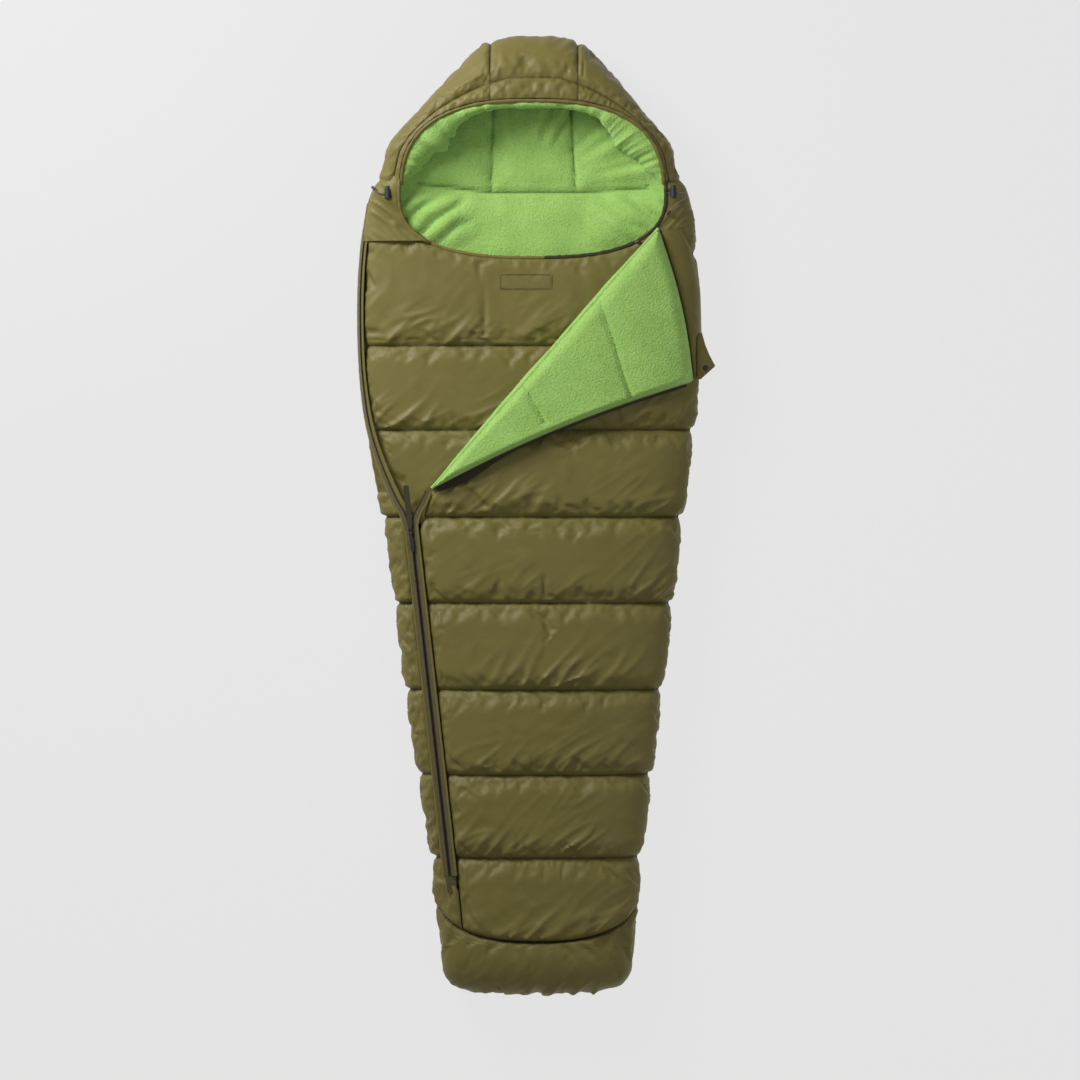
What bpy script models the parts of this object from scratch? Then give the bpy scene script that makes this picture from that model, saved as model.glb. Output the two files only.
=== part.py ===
"""A mummy sleeping bag, lying open on its back, as its sewn and moulded pieces.

Metres, +Z up, head end at +Y. The origin is on the floor under the middle of the bag.
Padded walls are sandwiches of shell, fill and lining that share one curved surface.
"""
import math

import bmesh
import bpy
from mathutils import Matrix, Vector

# ---- Driving dimensions -------------------------------------------------------------
HEAD_Y = 1.075                 # top of the hood
FOOT_Y = -1.075                # foot end
SEAM_Z = 0.045                 # height of the side seam above the floor
TOP_Z = 0.125                  # top of the closed bag
SEAM_GAP = 0.001               # air between the upper and lower panels at the side seam

SHELL = 0.0012                 # shell fabric with its backing
LINING = 0.0016                # fleece
LAYER_GAP = 0.0005             # air between shell and fill
LINING_GAP = 0.0026            # air between fill and lining
BACK_LOFT = 0.032              # thickness of the padded back
FRONT_LOFT = 0.037             # thickness of the padded front, side and foot
INNER_LOFT = 0.022             # thickness of the inner front panel
HOOD_LOFT = 0.026              # thickness of the hood wall

TOP_POWER = 3.0                # superellipse power of the upper cross-section
END_LENGTH = 0.10              # length over which the foot and head ends round down
END_BLUNT = 0.97               # share of the rounding that is left before the blunt end
CORNER_RADIUS = 0.10           # width of the rounded edge of the under side
INNER_RISE = 0.038             # rise of the inner front panel above the side seam

# Plan outline: distance along the bag, left edge and right edge.
OUTLINE = (
    (-1.075, -0.140, 0.135),
    (-1.055, -0.193, 0.193),
    (-1.000, -0.214, 0.214),
    (-0.777, -0.237, 0.237),
    (-0.552, -0.275, 0.266),
    (-0.283, -0.311, 0.300),
    (-0.058, -0.340, 0.324),
    (0.121, -0.376, 0.349),
    (0.256, -0.396, 0.364),
    (0.400, -0.404, 0.370),
    (0.520, -0.404, 0.369),
    (0.660, -0.392, 0.356),
    (0.735, -0.374, 0.338),
    (0.765, -0.351, 0.315),
    (0.830, -0.331, 0.297),
    (0.902, -0.270, 0.239),
    (0.974, -0.205, 0.183),
    (1.046, -0.134, 0.116),
    (1.075, -0.090, 0.078),
)

FACE_X = -0.010                # middle of the face opening
FACE_Y = 0.720
FACE_HALF_WIDTH = 0.300
FACE_UP = 0.209                # opening above its middle, to the hood's brim
FACE_DOWN = 0.145              # opening below its middle, to the neck edge
FACE_POWER = 2.6

HOOD_BASE_Y = 0.762            # the hood's sides run straight down to the neck from here
HOOD_NECK_Z = 0.100            # height of the hood's edge at the neck
HOOD_BRIM_Z = 0.150            # height of the hood's edge over the forehead
HOOD_SEAM_LEFT = 0.557         # share of the way round where the centre panel ends
HOOD_SEAM_RIGHT = 0.443
HOOD_LINING_Y = 0.740          # cross seam of the lining inside the hood

FOLD_LOW = Vector((-0.236, 0.058, 0.0))     # fold of the front panel, at the zip
FOLD_HIGH = Vector((0.272, 0.640, 0.0))     # fold of the front panel, at the neck
FOLD_Z = 0.1275
FLAP_CORNER = Vector((0.352, 0.298, 0.0))   # the folded-over corner
FLAP_CLEARANCE = 0.002
FOLD_GAP = 0.002               # the flap starts this far off the fold
FLAP_LOFT = 0.034
FLAP_PIVOT = (FOLD_LOW + FOLD_HIGH) / 2 + Vector((0.0, 0.0, FOLD_Z))
HEM_THICKNESS = 0.008
TAB_HINGE = Vector((0.3585, 0.330, 0.0905))

LABEL_LEFT = -0.084            # edges of the label patch on the front panel
LABEL_RIGHT = 0.034
LABEL_BOTTOM = 0.505
LABEL_TOP = 0.540
LABEL_THICKNESS = 0.0016

SLIDER_AT = Vector((-0.281, -0.040, 0.106))
ZIP_END = Vector((-0.195, -0.812, 0.106))
ZIP_BANK = math.radians(17.0)               # tilt of the closed zip towards the left
ZIP_MARGIN = 0.016                          # zip line to the edge of a padded panel
FOOT_SEAM_MIDDLE = -0.960
FOOT_SEAM_SIDE = -0.860
FOOT_SEAM_GAP = 0.0025         # half the air in the curved foot seam
NECK_TOP_Y = 0.695             # where the front and inner panels end beside the hood

COIL_WIDTH = 0.0026
COIL_HEIGHT = 0.0024
COIL_SLOT = 0.0018             # gap between the two coils, which the slider's post runs in
TAPE_WIDTH = 0.0105
TAPE_THICKNESS = 0.0008

CORD_RADIUS = 0.0015
LOCK_RADIUS = 0.0075
LOCK_LENGTH = 0.022

SEAM_ANGLE = 0.0006            # keeps an upper panel's edge just clear of the side seam
FRONT_SHARES = (0.0, 0.07, 0.17, 0.29, 0.42, 0.56, 0.71, 0.86, 1.0)
OUTER_BAR = Vector((0.0, -0.0030, 0.0061))  # bail bar of the outer puller, from the slider's middle
LONG_BAR = Vector((0.0, 0.0080, 0.0055))    # bail bar of the long puller
BAR_HALF = 0.0007
PULLER_THICKNESS = 0.0014
EYE_RADIUS = 0.0021            # outside of the puller's eye
EYE_BORE = 0.00115             # the eye's hole, round the bail's bar
EYE_HALF_WIDTH = 0.0030
BUTTON_TRAVEL = 0.0035
LOCK_BORE = 0.0055
RIGHT_LOCK = Vector((0.3065, 0.7200, 0.1120))
LEFT_LOCK = Vector((-0.3345, 0.7200, 0.0960))
RIGHT_TAIL = (
    (0.2925, 0.7200, 0.1120), (0.3000, 0.7200, 0.1120), (0.3130, 0.7200, 0.1120),
    (0.3260, 0.7200, 0.1120), (0.3330, 0.7180, 0.1110), (0.3350, 0.7120, 0.1080),
    (0.3300, 0.7060, 0.1080), (0.3200, 0.7000, 0.1100), (0.3090, 0.6900, 0.1130),
    (0.2990, 0.6790, 0.1150),
)
LEFT_TAIL = (
    (-0.3170, 0.7200, 0.0960), (-0.3240, 0.7200, 0.0960), (-0.3380, 0.7200, 0.0960),
    (-0.3500, 0.7200, 0.0955), (-0.3580, 0.7230, 0.0930), (-0.3640, 0.7290, 0.0890),
)
# The left coil above the slider: distance along the bag, x, height and tilt in degrees.
LEFT_OPEN = (
    (-0.040, -0.281, 0.106, 17.0),
    (-0.010, -0.287, 0.106, 18.0),
    (0.038, -0.3145, 0.1015, 27.0),
    (0.130, -0.3545, 0.084, 45.0),
    (0.211, -0.3785, 0.070, 56.0),
    (0.310, -0.3925, 0.062, 64.0),
    (0.400, -0.3975, 0.060, 66.0),
    (0.500, -0.3975, 0.060, 66.0),
    (0.600, -0.391, 0.060, 66.0),
    (0.700, -0.376, 0.060, 66.0),
)

# ---- Materials ----------------------------------------------------------------------
FINISHES = {
    "shell": ((0.20, 0.17, 0.06), 0.75, 0.0),
    "fleece": ((0.28, 0.48, 0.11), 0.95, 0.0),
    "fill": ((0.85, 0.85, 0.82), 1.0, 0.0),
    "binding": ((0.06, 0.05, 0.03), 0.8, 0.0),
    "tape": ((0.09, 0.07, 0.05), 0.8, 0.0),
    "coil": ((0.05, 0.04, 0.03), 0.5, 0.0),
    "metal": ((0.45, 0.44, 0.42), 0.35, 1.0),
    "plastic": ((0.02, 0.02, 0.02), 0.45, 0.0),
    "cord": ((0.10, 0.10, 0.09), 0.8, 0.0),
    "label": ((0.25, 0.21, 0.09), 0.7, 0.0),
}


def finish(name):
    """The Principled material of one finish, made once."""
    material = bpy.data.materials.get(name)
    if material:
        return material
    colour, roughness, metallic = FINISHES[name]
    material = bpy.data.materials.new(name)
    material.use_nodes = True
    shader = material.node_tree.nodes["Principled BSDF"]
    shader.inputs["Base Color"].default_value = (*colour, 1.0)
    shader.inputs["Roughness"].default_value = roughness
    shader.inputs["Metallic"].default_value = metallic
    return material


def add_object(name, mesh, material, parent=None):
    """Link a mesh as one named sub-part."""
    mesh.materials.append(finish(material))
    part = bpy.data.objects.new(name, mesh)
    bpy.context.scene.collection.objects.link(part)
    part.parent = parent
    return part


def add_empty(name, location, rotation=None, parent=None):
    """An empty that holds the pieces of one moving group."""
    empty = bpy.data.objects.new(name, None)
    bpy.context.scene.collection.objects.link(empty)
    empty.parent = parent
    matrix = rotation.to_4x4() if rotation else Matrix.Identity(4)
    empty.matrix_local = Matrix.Translation(location) @ matrix
    return empty


def mesh_from(bm, name):
    """Turn a closed bmesh into a mesh whose faces point out."""
    if bm.calc_volume(signed=True) < 0:
        bmesh.ops.reverse_faces(bm, faces=bm.faces)
    mesh = bpy.data.meshes.new(name)
    bm.to_mesh(mesh)
    bm.free()
    return mesh


# ---- Curves in plan -----------------------------------------------------------------
def hermite(stations, at):
    """Smooth values at a place between rows of (place, value, value...)."""
    at = min(max(at, stations[0][0]), stations[-1][0])
    last = len(stations) - 1
    low = max(i for i in range(last) if stations[i][0] <= at)
    high = low + 1
    span = stations[high][0] - stations[low][0]
    t = (at - stations[low][0]) / span
    values = []
    for column in range(1, len(stations[0])):
        slopes = []
        for i in (low, high):
            before, after = stations[max(i - 1, 0)], stations[min(i + 1, last)]
            slopes.append((after[column] - before[column]) / (after[0] - before[0]) * span)
        start, end = stations[low][column], stations[high][column]
        values.append(
            (2 * t**3 - 3 * t**2 + 1) * start
            + (t**3 - 2 * t**2 + t) * slopes[0]
            + (3 * t**2 - 2 * t**3) * end
            + (t**3 - t**2) * slopes[1]
        )
    return values


def outline(y):
    """Middle and half-width of the plan outline at y."""
    left, right = hermite(OUTLINE, y)
    return (left + right) / 2, (right - left) / 2


def curve_through(points, count):
    """Evenly numbered points on a smooth curve through a few chosen ones."""
    rows = [(float(i), *p) for i, p in enumerate(points)]
    end = len(points) - 1
    return [Vector(hermite(rows, end * i / (count - 1))) for i in range(count)]


def power_pair(angle, power):
    """Cosine and sine of a superellipse at an angle."""
    cosine, sine = math.cos(angle), math.sin(angle)
    across = math.copysign(abs(cosine) ** (2 / power), cosine)
    return across, abs(sine) ** (2 / power)


def rise_at(across, power=TOP_POWER):
    """Height of a superellipse, from 1 in its middle to 0 at its edge."""
    return max(0.0, 1 - abs(across) ** power) ** (1 / power)


def zip_x(y):
    """The closed zip's straight line in plan."""
    t = (y - SLIDER_AT.y) / (ZIP_END.y - SLIDER_AT.y)
    return SLIDER_AT.x + (ZIP_END.x - SLIDER_AT.x) * t


def fold_x(y):
    """The fold's straight line in plan."""
    t = (y - FOLD_LOW.y) / (FOLD_HIGH.y - FOLD_LOW.y)
    return FOLD_LOW.x + (FOLD_HIGH.x - FOLD_LOW.x) * t


def neck_y(x):
    """The neck edge of the inner panel, the lower half of the face opening."""
    across = min(abs(x - FACE_X) / FACE_HALF_WIDTH, 1.0)
    return FACE_Y - FACE_DOWN * rise_at(across, FACE_POWER)


def foot_seam_y(across):
    """The curved seam of the foot panel."""
    return FOOT_SEAM_SIDE + (FOOT_SEAM_MIDDLE - FOOT_SEAM_SIDE) * rise_at(across, 2.4)


# ---- Curved surfaces of the padded walls ----------------------------------------------
def end_share(y, end_y):
    """0 in the body of the bag, and close to 1 at the given end."""
    inside = abs(y - end_y) / END_LENGTH
    return END_BLUNT * max(1.0 - inside, 0.0)


def upper_point(angle, y, depth):
    """A point of the upper side, depth below its outer surface. Angle 0 is the right seam."""
    middle, half = outline(y)
    across, rise = power_pair(angle, TOP_POWER)
    foot = end_share(y, FOOT_Y)
    height = (TOP_Z - SEAM_Z - depth) * rise * rise_at(foot, 2.5)
    base = SEAM_Z + SEAM_GAP / 2
    return Vector((middle + (half - depth) * across, y + depth * foot, base + height))


def upper_angle(x, y, depth=0.0):
    """The angle of upper_point that gives x at a depth."""
    middle, half = outline(y)
    across = min(max((x - middle) / (half - depth), -1.0), 1.0)
    cosine = math.copysign(abs(across) ** (TOP_POWER / 2), across)
    return math.acos(cosine)


def upper_z(x, y):
    """Height of the closed bag's upper side at a place in plan."""
    return upper_point(upper_angle(x, y), y, 0.0).z


def lower_point(share, y, depth):
    """A point of the under side. Share runs from -1 at the left seam to 1 at the right."""
    middle, half = outline(y)
    corner = 0.42
    radius = min(CORNER_RADIUS, 0.8 * half)
    flat = half - radius
    side = math.copysign(1.0, share)
    ease = min((1 - abs(share)) / corner, 1.0) * math.pi / 2
    if abs(share) > 1 - corner:
        across = flat + (radius - depth) * math.cos(ease)
    else:
        across = flat * abs(share) / (1 - corner)
    foot, head = end_share(y, FOOT_Y), end_share(y, HEAD_Y)
    base = SEAM_Z - SEAM_GAP / 2
    sink = (base - depth) * math.sin(ease) * rise_at(foot, 2.5) * rise_at(head, 2.5)
    return Vector((middle + side * across, y + depth * (foot - head), base - sink))


def inner_point(angle, y, depth):
    """A point of the inner front panel, which lies under the front panel."""
    middle, half = outline(y)
    across, rise = power_pair(angle, TOP_POWER)
    reach = half - (0.012 if across < 0 else FRONT_LOFT + 0.003) - depth
    height = (INNER_RISE - depth) * rise
    return Vector((middle + reach * across, y, SEAM_Z + SEAM_GAP / 2 + height))


# ---- Closed solids between two grids ---------------------------------------------------
def grid_solid(outer, inner):
    """A closed solid between two grids of points with the same rows and columns."""
    bm = bmesh.new()
    rows, columns = len(outer), len(outer[0])
    top = [[bm.verts.new(p) for p in row] for row in outer]
    low = [[bm.verts.new(p) for p in row] for row in inner]
    for i in range(rows - 1):
        for j in range(columns - 1):
            for grid, order in ((top, 1), (low, -1)):
                a, b = grid[i][j], grid[i][j + 1]
                c, d = grid[i + 1][j + 1], grid[i + 1][j]
                bm.faces.new((a, b, c)[::order])
                bm.faces.new((a, c, d)[::order])
    rim = [(0, j) for j in range(columns - 1)]
    rim += [(i, columns - 1) for i in range(rows - 1)]
    rim += [(rows - 1, j) for j in range(columns - 1, 0, -1)]
    rim += [(i, 0) for i in range(rows - 1, 0, -1)]
    for here, there in zip(rim, rim[1:] + rim[:1]):
        a, b = top[here[0]][here[1]], top[there[0]][there[1]]
        c, d = low[there[0]][there[1]], low[here[0]][here[1]]
        bm.faces.new((b, a, c))
        bm.faces.new((a, d, c))
    return bm


def add_layer(name, material, points, depths, parent=None):
    """One layer of a padded wall. points(depth) gives its grid of points at a depth."""
    bm = grid_solid(points(depths[0]), points(depths[1]))
    mesh = mesh_from(bm, name)
    return add_object(name, mesh, material, parent)


def add_sandwich(prefix, points, loft, parent=None, skins=("shell", "lining")):
    """The shell, fill and lining of one padded wall."""
    first, last = 0.0, loft
    if "shell" in skins:
        add_layer(prefix + "_shell", "shell", points, (0.0, SHELL), parent)
        first = SHELL + LAYER_GAP
    if "lining" in skins:
        add_layer(prefix + "_lining", "fleece", points, (loft - LINING, loft), parent)
        last = loft - LINING - LINING_GAP
    add_layer(prefix + "_fill", "fill", points, (first, last), parent)


def spread(low, high, count):
    """count values from low to high."""
    return [low + (high - low) * i / (count - 1) for i in range(count)]


def end_rows(count):
    """Distances from the foot end, closer together where it rounds down."""
    return [END_LENGTH * (1 - math.cos(a)) for a in spread(0.0, math.pi / 2, count)]


# ---- Padded walls ----------------------------------------------------------------------
def back_rows():
    """Stations along the back, from foot to head."""
    foot = [FOOT_Y + d for d in end_rows(4)]
    body = spread(-0.80, 0.60, 9)
    neck = [0.69, HOOD_LINING_Y - LAYER_GAP, HOOD_LINING_Y + LAYER_GAP, 0.765, 0.83, 0.90]
    head = [HEAD_Y - d for d in reversed(end_rows(4))]
    return foot + body + neck + head


def back_grid(rows, depth):
    """Grid of the padded back at a depth."""
    shares = [-1, -0.86, -0.72, -0.58, -0.2, 0.2, 0.58, 0.72, 0.86, 1]
    return [[lower_point(s, y, depth) for s in shares] for y in rows]


def make_back():
    """The padded back, with a separate lining inside the hood."""
    rows = back_rows()
    body_rows = [y for y in rows if y < HOOD_LINING_Y]
    hood_rows = [y for y in rows if y > HOOD_LINING_Y]
    padding = BACK_LOFT - LINING - LINING_GAP
    add_sandwich("back", lambda d: back_grid(rows, d), padding, None, ("shell",))
    depths = (BACK_LOFT - LINING, BACK_LOFT)
    add_layer("back_lining", "fleece", lambda d: back_grid(body_rows, d), depths)
    add_layer("hood_back_lining", "fleece", lambda d: back_grid(hood_rows, d), depths)


def front_left(y):
    """Left edge of the front panel: beside the zip, then along the fold."""
    if y > FOLD_HIGH.y:
        return FOLD_HIGH.x + (y - FOLD_HIGH.y) * 0.5
    if y > FOLD_LOW.y:
        return fold_x(y)
    slider_side = zip_x(min(y, SLIDER_AT.y)) + ZIP_MARGIN
    if y < SLIDER_AT.y:
        return slider_side
    share = (y - SLIDER_AT.y) / (FOLD_LOW.y - SLIDER_AT.y)
    return slider_side + (FOLD_LOW.x - slider_side) * share


def front_angles(left):
    """Angles of the front panel's columns, from the right seam to its left edge."""
    return [SEAM_ANGLE + (left - SEAM_ANGLE) * share for share in FRONT_SHARES]


def front_grid(depth):
    """Grid of the front panel, from the foot seam to the neck."""
    rows = [[foot_edge(a, FOOT_SEAM_GAP, depth) for a in front_angles(foot_zip_angle())]]
    body = spread(-0.76, SLIDER_AT.y, 6)
    folded = [FOLD_LOW.y, 0.19, 0.34, 0.49, FOLD_HIGH.y, NECK_TOP_Y]
    for y in body + folded:
        left = upper_angle(front_left(y), y, depth)
        rows.append([upper_point(a, y, depth) for a in front_angles(left)])
    return rows


def foot_zip_angle():
    """Angle of the front panel's zip edge where it meets the foot seam."""
    return upper_angle(zip_x(FOOT_SEAM_SIDE) + ZIP_MARGIN, FOOT_SEAM_SIDE)


def foot_edge(angle, gap, depth):
    """A point on the curved foot seam, moved a gap towards the head."""
    across = power_pair(angle, TOP_POWER)[0]
    return upper_point(angle, foot_seam_y(across) + gap, depth)


def make_front():
    """The quilted front panel, up to its fold."""
    add_sandwich("front", front_grid, FRONT_LOFT)


def side_grid(depth):
    """Grid of the strip between the left seam and the zip."""
    rows = []
    for y in spread(-0.845, SLIDER_AT.y, 6) + [0.015, 0.050]:
        edge = left_path_x(y) - ZIP_MARGIN - 0.05 * max(y, 0.0)
        angle = upper_angle(edge, y, depth)
        rows.append([upper_point(a, y, depth) for a in spread(angle, math.pi - SEAM_ANGLE, 4)])
    return rows


def make_side():
    """The padded strip on the far side of the zip."""
    add_sandwich("side", side_grid, 0.020)


def foot_grid(depth):
    """Grid of the foot panel, from its curved seam round the foot end."""
    angles = front_angles(foot_zip_angle())
    angles += spread(angles[-1], math.pi - SEAM_ANGLE, 5)[1:]
    ends = [FOOT_Y + d for d in end_rows(4)]
    rows = []
    for share in (1.0, 0.45):
        rows.append([])
        for angle in angles:
            seam = foot_edge(angle, -FOOT_SEAM_GAP, 0.0).y
            y = ends[-1] + (seam - ends[-1]) * share
            rows[-1].append(upper_point(angle, y, depth))
    for y in reversed(ends):
        rows.append([upper_point(a, y, depth) for a in angles])
    return rows[::-1]


def make_foot():
    """The padded foot panel."""
    add_sandwich("foot", foot_grid, FRONT_LOFT)


def inner_left(y):
    """Left edge of the inner front panel, beside the left tape."""
    return left_path_x(y) + 0.014


def inner_grid(depth):
    """Grid of the inner front panel, from below the slider to the neck edge."""
    rows = []
    count = 10
    for share in spread(0.0, 1.0, count):
        row = []
        for across in spread(0.0, 1.0, 10):
            y = -0.030
            x = 0.0
            for _ in range(12):
                left = inner_left(y)
                right = outline(y)[0] + outline(y)[1] - FRONT_LOFT - 0.006
                x = right + (left - right) * math.sin(across * math.pi / 2) ** 1.3
                y = -0.030 + (min(neck_y(x), NECK_TOP_Y) + 0.030) * share
            middle, half = outline(y)
            reach = half - (0.012 if x < middle else FRONT_LOFT + 0.003)
            ratio = min(max((x - middle) / reach, -0.9999), 0.9999)
            angle = math.acos(math.copysign(abs(ratio) ** (TOP_POWER / 2), ratio))
            row.append(inner_point(angle, y, depth))
        rows.append(row)
    return rows


def make_inner():
    """The inner front panel with its label and neck binding."""
    add_sandwich("inner_panel", inner_grid, INNER_LOFT)
    path = []
    for place in inner_grid(INNER_LOFT / 3)[-1][2:-2]:
        away = Vector((FACE_X - place.x, (FACE_Y - place.y) * 3.0, 0.0)).normalized()
        path.append(place + away * 0.0075)
    add_tube("neck_binding", path, 0.0045, "binding")
    columns = spread(LABEL_LEFT, LABEL_RIGHT, 5)
    rows = spread(LABEL_BOTTOM, LABEL_TOP, 3)
    lift = LABEL_THICKNESS
    low = [[Vector((x, y, inner_z(x, y) + lift)) for x in columns] for y in rows]
    high = [[p + Vector((0, 0, 0.0009)) for p in row] for row in low]
    add_object("label_patch", mesh_from(grid_solid(high, low), "label_patch"), "label")


def inner_z(x, y):
    """Height of the inner front panel at a place in plan."""
    middle, half = outline(y)
    reach = half - (0.012 if x < middle else FRONT_LOFT + 0.003)
    return SEAM_Z + SEAM_GAP / 2 + INNER_RISE * rise_at((x - middle) / reach)


# ---- Hood ------------------------------------------------------------------------------
def inside_hood(point):
    """Whether a place in plan is inside the hood's outline."""
    if point.y > HEAD_Y:
        return False
    middle, half = outline(max(point.y, HOOD_BASE_Y))
    return abs(point.x - middle) < half


def hood_ends(share):
    """The opening's edge, and the outline beyond it, a share of the way round the hood."""
    angle = math.radians(3) + (math.pi - math.radians(6)) * share
    across, up = power_pair(angle, FACE_POWER)
    edge = Vector((FACE_X + FACE_HALF_WIDTH * across, FACE_Y + FACE_UP * up, 0.0))
    outward = Vector((edge.x - FACE_X, (edge.y - FACE_Y) * 1.15, 0.0)).normalized()
    low, high = 0.0, 0.5
    for _ in range(30):
        middle = (low + high) / 2
        if inside_hood(edge + outward * middle):
            low = middle
        else:
            high = middle
    return edge, outward, low


def hood_height(share):
    """Height of the hood's edge, highest over the forehead."""
    return HOOD_NECK_Z + (HOOD_BRIM_Z - HOOD_NECK_Z) * math.sin(share * math.pi) ** 0.7


def hood_grid(shares, depth):
    """Grid of the hood wall, from the side seam over to the face opening."""
    grid = []
    for share in shares:
        edge, outward, width = hood_ends(share)
        height = hood_height(share) - SEAM_Z
        scale = min(1.0, 0.55 * width / HOOD_LOFT)
        row = []
        for angle in spread(0.0006, math.pi / 2, 6):
            across, rise = power_pair(angle, 2.4)
            place = edge + outward * (width - depth * scale) * across
            place.z = SEAM_Z + SEAM_GAP / 2 + (height - depth * scale) * rise
            row.append(place)
        grid.append(row)
    return grid


def make_hood():
    """The hood's three shell panels over one fill and one lining, and its edge hem."""
    gap = 0.001
    panels = {
        "hood_right_shell": spread(0.0, HOOD_SEAM_RIGHT - gap, 8),
        "hood_centre_shell": spread(HOOD_SEAM_RIGHT + gap, HOOD_SEAM_LEFT - gap, 5),
        "hood_left_shell": spread(HOOD_SEAM_LEFT + gap, 1.0, 8),
    }
    around = sum(panels.values(), [])
    for name, shares in panels.items():
        add_layer(name, "shell", lambda d, s=shares: hood_grid(s, d), (0.0, SHELL))
    fill = (SHELL + LAYER_GAP, HOOD_LOFT - LINING - LAYER_GAP)
    add_layer("hood_fill", "fill", lambda d: hood_grid(around, d), fill)
    lining = (HOOD_LOFT - LINING, HOOD_LOFT)
    add_layer("hood_lining", "fleece", lambda d: hood_grid(around, d), lining)
    path = []
    for share in spread(0.0, 1.0, 34):
        edge, outward, _ = hood_ends(share)
        path.append(edge - outward * 0.0075 + Vector((0, 0, hood_height(share) - 0.006)))
    add_tube("hood_hem", path, 0.005, "binding")


# ---- Tubes and strips --------------------------------------------------------------------
def add_tube(name, path, radius, material, parent=None, resolution=2):
    """A round tube along a path, with closed ends."""
    curve = bpy.data.curves.new(name, "CURVE")
    curve.dimensions = "3D"
    curve.bevel_depth = radius
    curve.bevel_resolution = resolution
    curve.use_fill_caps = True
    spline = curve.splines.new("POLY")
    spline.points.add(len(path) - 1)
    for point, place in zip(spline.points, path):
        point.co = (*place, 1.0)
    curve.materials.append(finish(material))
    tube = bpy.data.objects.new(name, curve)
    bpy.context.scene.collection.objects.link(tube)
    tube.parent = parent
    return tube


def strip_mesh(name, path, banks, low, high, thickness):
    """A flat strip beside a path. low and high are its edges, measured to the path's left."""
    grids = ([], [])
    for i, place in enumerate(path):
        ahead = path[min(i + 1, len(path) - 1)] - path[max(i - 1, 0)]
        ahead.normalize()
        level = Vector((0, 0, 1)).cross(ahead).normalized()
        upright = ahead.cross(level).normalized()
        left = level * math.cos(banks[i]) - upright * math.sin(banks[i])
        normal = ahead.cross(left).normalized()
        for grid, lift in zip(grids, (thickness / 2, -thickness / 2)):
            grid.append([place + left * edge + normal * lift for edge in (low, high)])
    return mesh_from(grid_solid(*grids), name)


# ---- Zip -----------------------------------------------------------------------------------


def left_path_x(y):
    """The left coil's line in plan, all along the bag."""
    if y <= SLIDER_AT.y:
        return zip_x(y)
    return hermite(LEFT_OPEN, y)[0]


def left_path():
    """Points and tilts of the left coil, from the foot end to the neck."""
    straight = [ZIP_END.lerp(SLIDER_AT, s) for s in spread(0.0, 1.0, 6)]
    head = (SLIDER_AT - ZIP_END).normalized()
    beyond = [SLIDER_AT + head * 0.016]
    path, banks = straight + beyond, [ZIP_BANK] * 7
    for y in spread(0.005, 0.700, 14):
        x, z, tilt = hermite(LEFT_OPEN, y)
        path.append(Vector((x, y, z)))
        banks.append(math.radians(tilt))
    return path, banks


def right_path():
    """Points and tilts of the right coil, from the foot end to the fold."""
    head = (SLIDER_AT - ZIP_END).normalized()
    straight = [ZIP_END.lerp(SLIDER_AT, s) for s in spread(0.0, 1.0, 6)]
    path = straight + [SLIDER_AT + head * 0.016]
    bend = [path[-1], Vector((-0.2750, 0.005, 0.110)), Vector((-0.2590, 0.034, 0.117)),
            Vector((-0.2520, 0.052, 0.120))]
    path += curve_through([tuple(p) for p in bend], 7)[1:]
    banks = [ZIP_BANK] * 7 + spread(math.radians(12), 0.0, 6)
    return path, banks


def flap_path():
    """Points of the coil along the flap's edge, from the fold to the folded corner."""
    offset = flap_outward(FOLD_LOW, FLAP_CORNER) * 0.0145
    points = []
    for share in spread(0.015, 0.97, 16):
        place = FOLD_LOW.lerp(FLAP_CORNER, share)
        place += flap_sag(share) * flap_outward(FOLD_LOW, FLAP_CORNER)
        place += offset
        place.z = upper_z(place.x, place.y) + 0.0062
        points.append(place)
    return points


def make_zip():
    """The tapes, coils, end patch and top stop."""
    tape = (COIL_SLOT / 2 + COIL_WIDTH + 0.0004, COIL_SLOT / 2 + COIL_WIDTH + TAPE_WIDTH)
    coil = (COIL_SLOT / 2, COIL_SLOT / 2 + COIL_WIDTH)
    path, banks = left_path()
    mesh = strip_mesh("zip_tape_left", path, banks, *tape, TAPE_THICKNESS)
    add_object("zip_tape_left", mesh, "tape")
    mesh = strip_mesh("zip_coil_left", path, banks, *coil, COIL_HEIGHT)
    add_object("zip_coil_left", mesh, "coil")
    path, banks = right_path()
    mesh = strip_mesh("zip_tape_right", path, banks, -tape[1], -tape[0], TAPE_THICKNESS)
    add_object("zip_tape_right", mesh, "tape")
    mesh = strip_mesh("zip_coil_right", path, banks, -coil[1], -coil[0], COIL_HEIGHT)
    add_object("zip_coil_right", mesh, "coil")
    down = (ZIP_END - SLIDER_AT).normalized()
    path = [ZIP_END + down * s for s in (0.0015, 0.018, 0.036)]
    mesh = strip_mesh("zip_end_patch", path, [ZIP_BANK] * 3, -0.011, 0.011, 0.003)
    add_object("zip_end_patch", mesh, "tape")
    x, z, tilt = hermite(LEFT_OPEN, 0.700)
    path = [Vector((x + 0.0005, 0.7015, z)), Vector((x + 0.002, 0.7095, z))]
    mesh = strip_mesh("zip_top_stop", path, [math.radians(tilt)] * 2, -0.002, 0.005, 0.004)
    add_object("zip_top_stop", mesh, "metal")
    path = [ZIP_END.lerp(SLIDER_AT, s) + Vector((0.003, 0, -0.019)) for s in spread(-0.03, 0.99, 12)]
    add_tube("zip_draft_tube", path, 0.0105, "fleece")


# ---- Flap ----------------------------------------------------------------------------------
def flap_outward(start, end):
    """The direction in plan that points away from the flap, off its zip edge."""
    along = (end - start).normalized()
    return Vector((along.y, -along.x, 0.0))


def flap_sag(share):
    """How far the zip edge bows out from a straight line."""
    return -0.016 * math.sin(share * math.pi)


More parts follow.
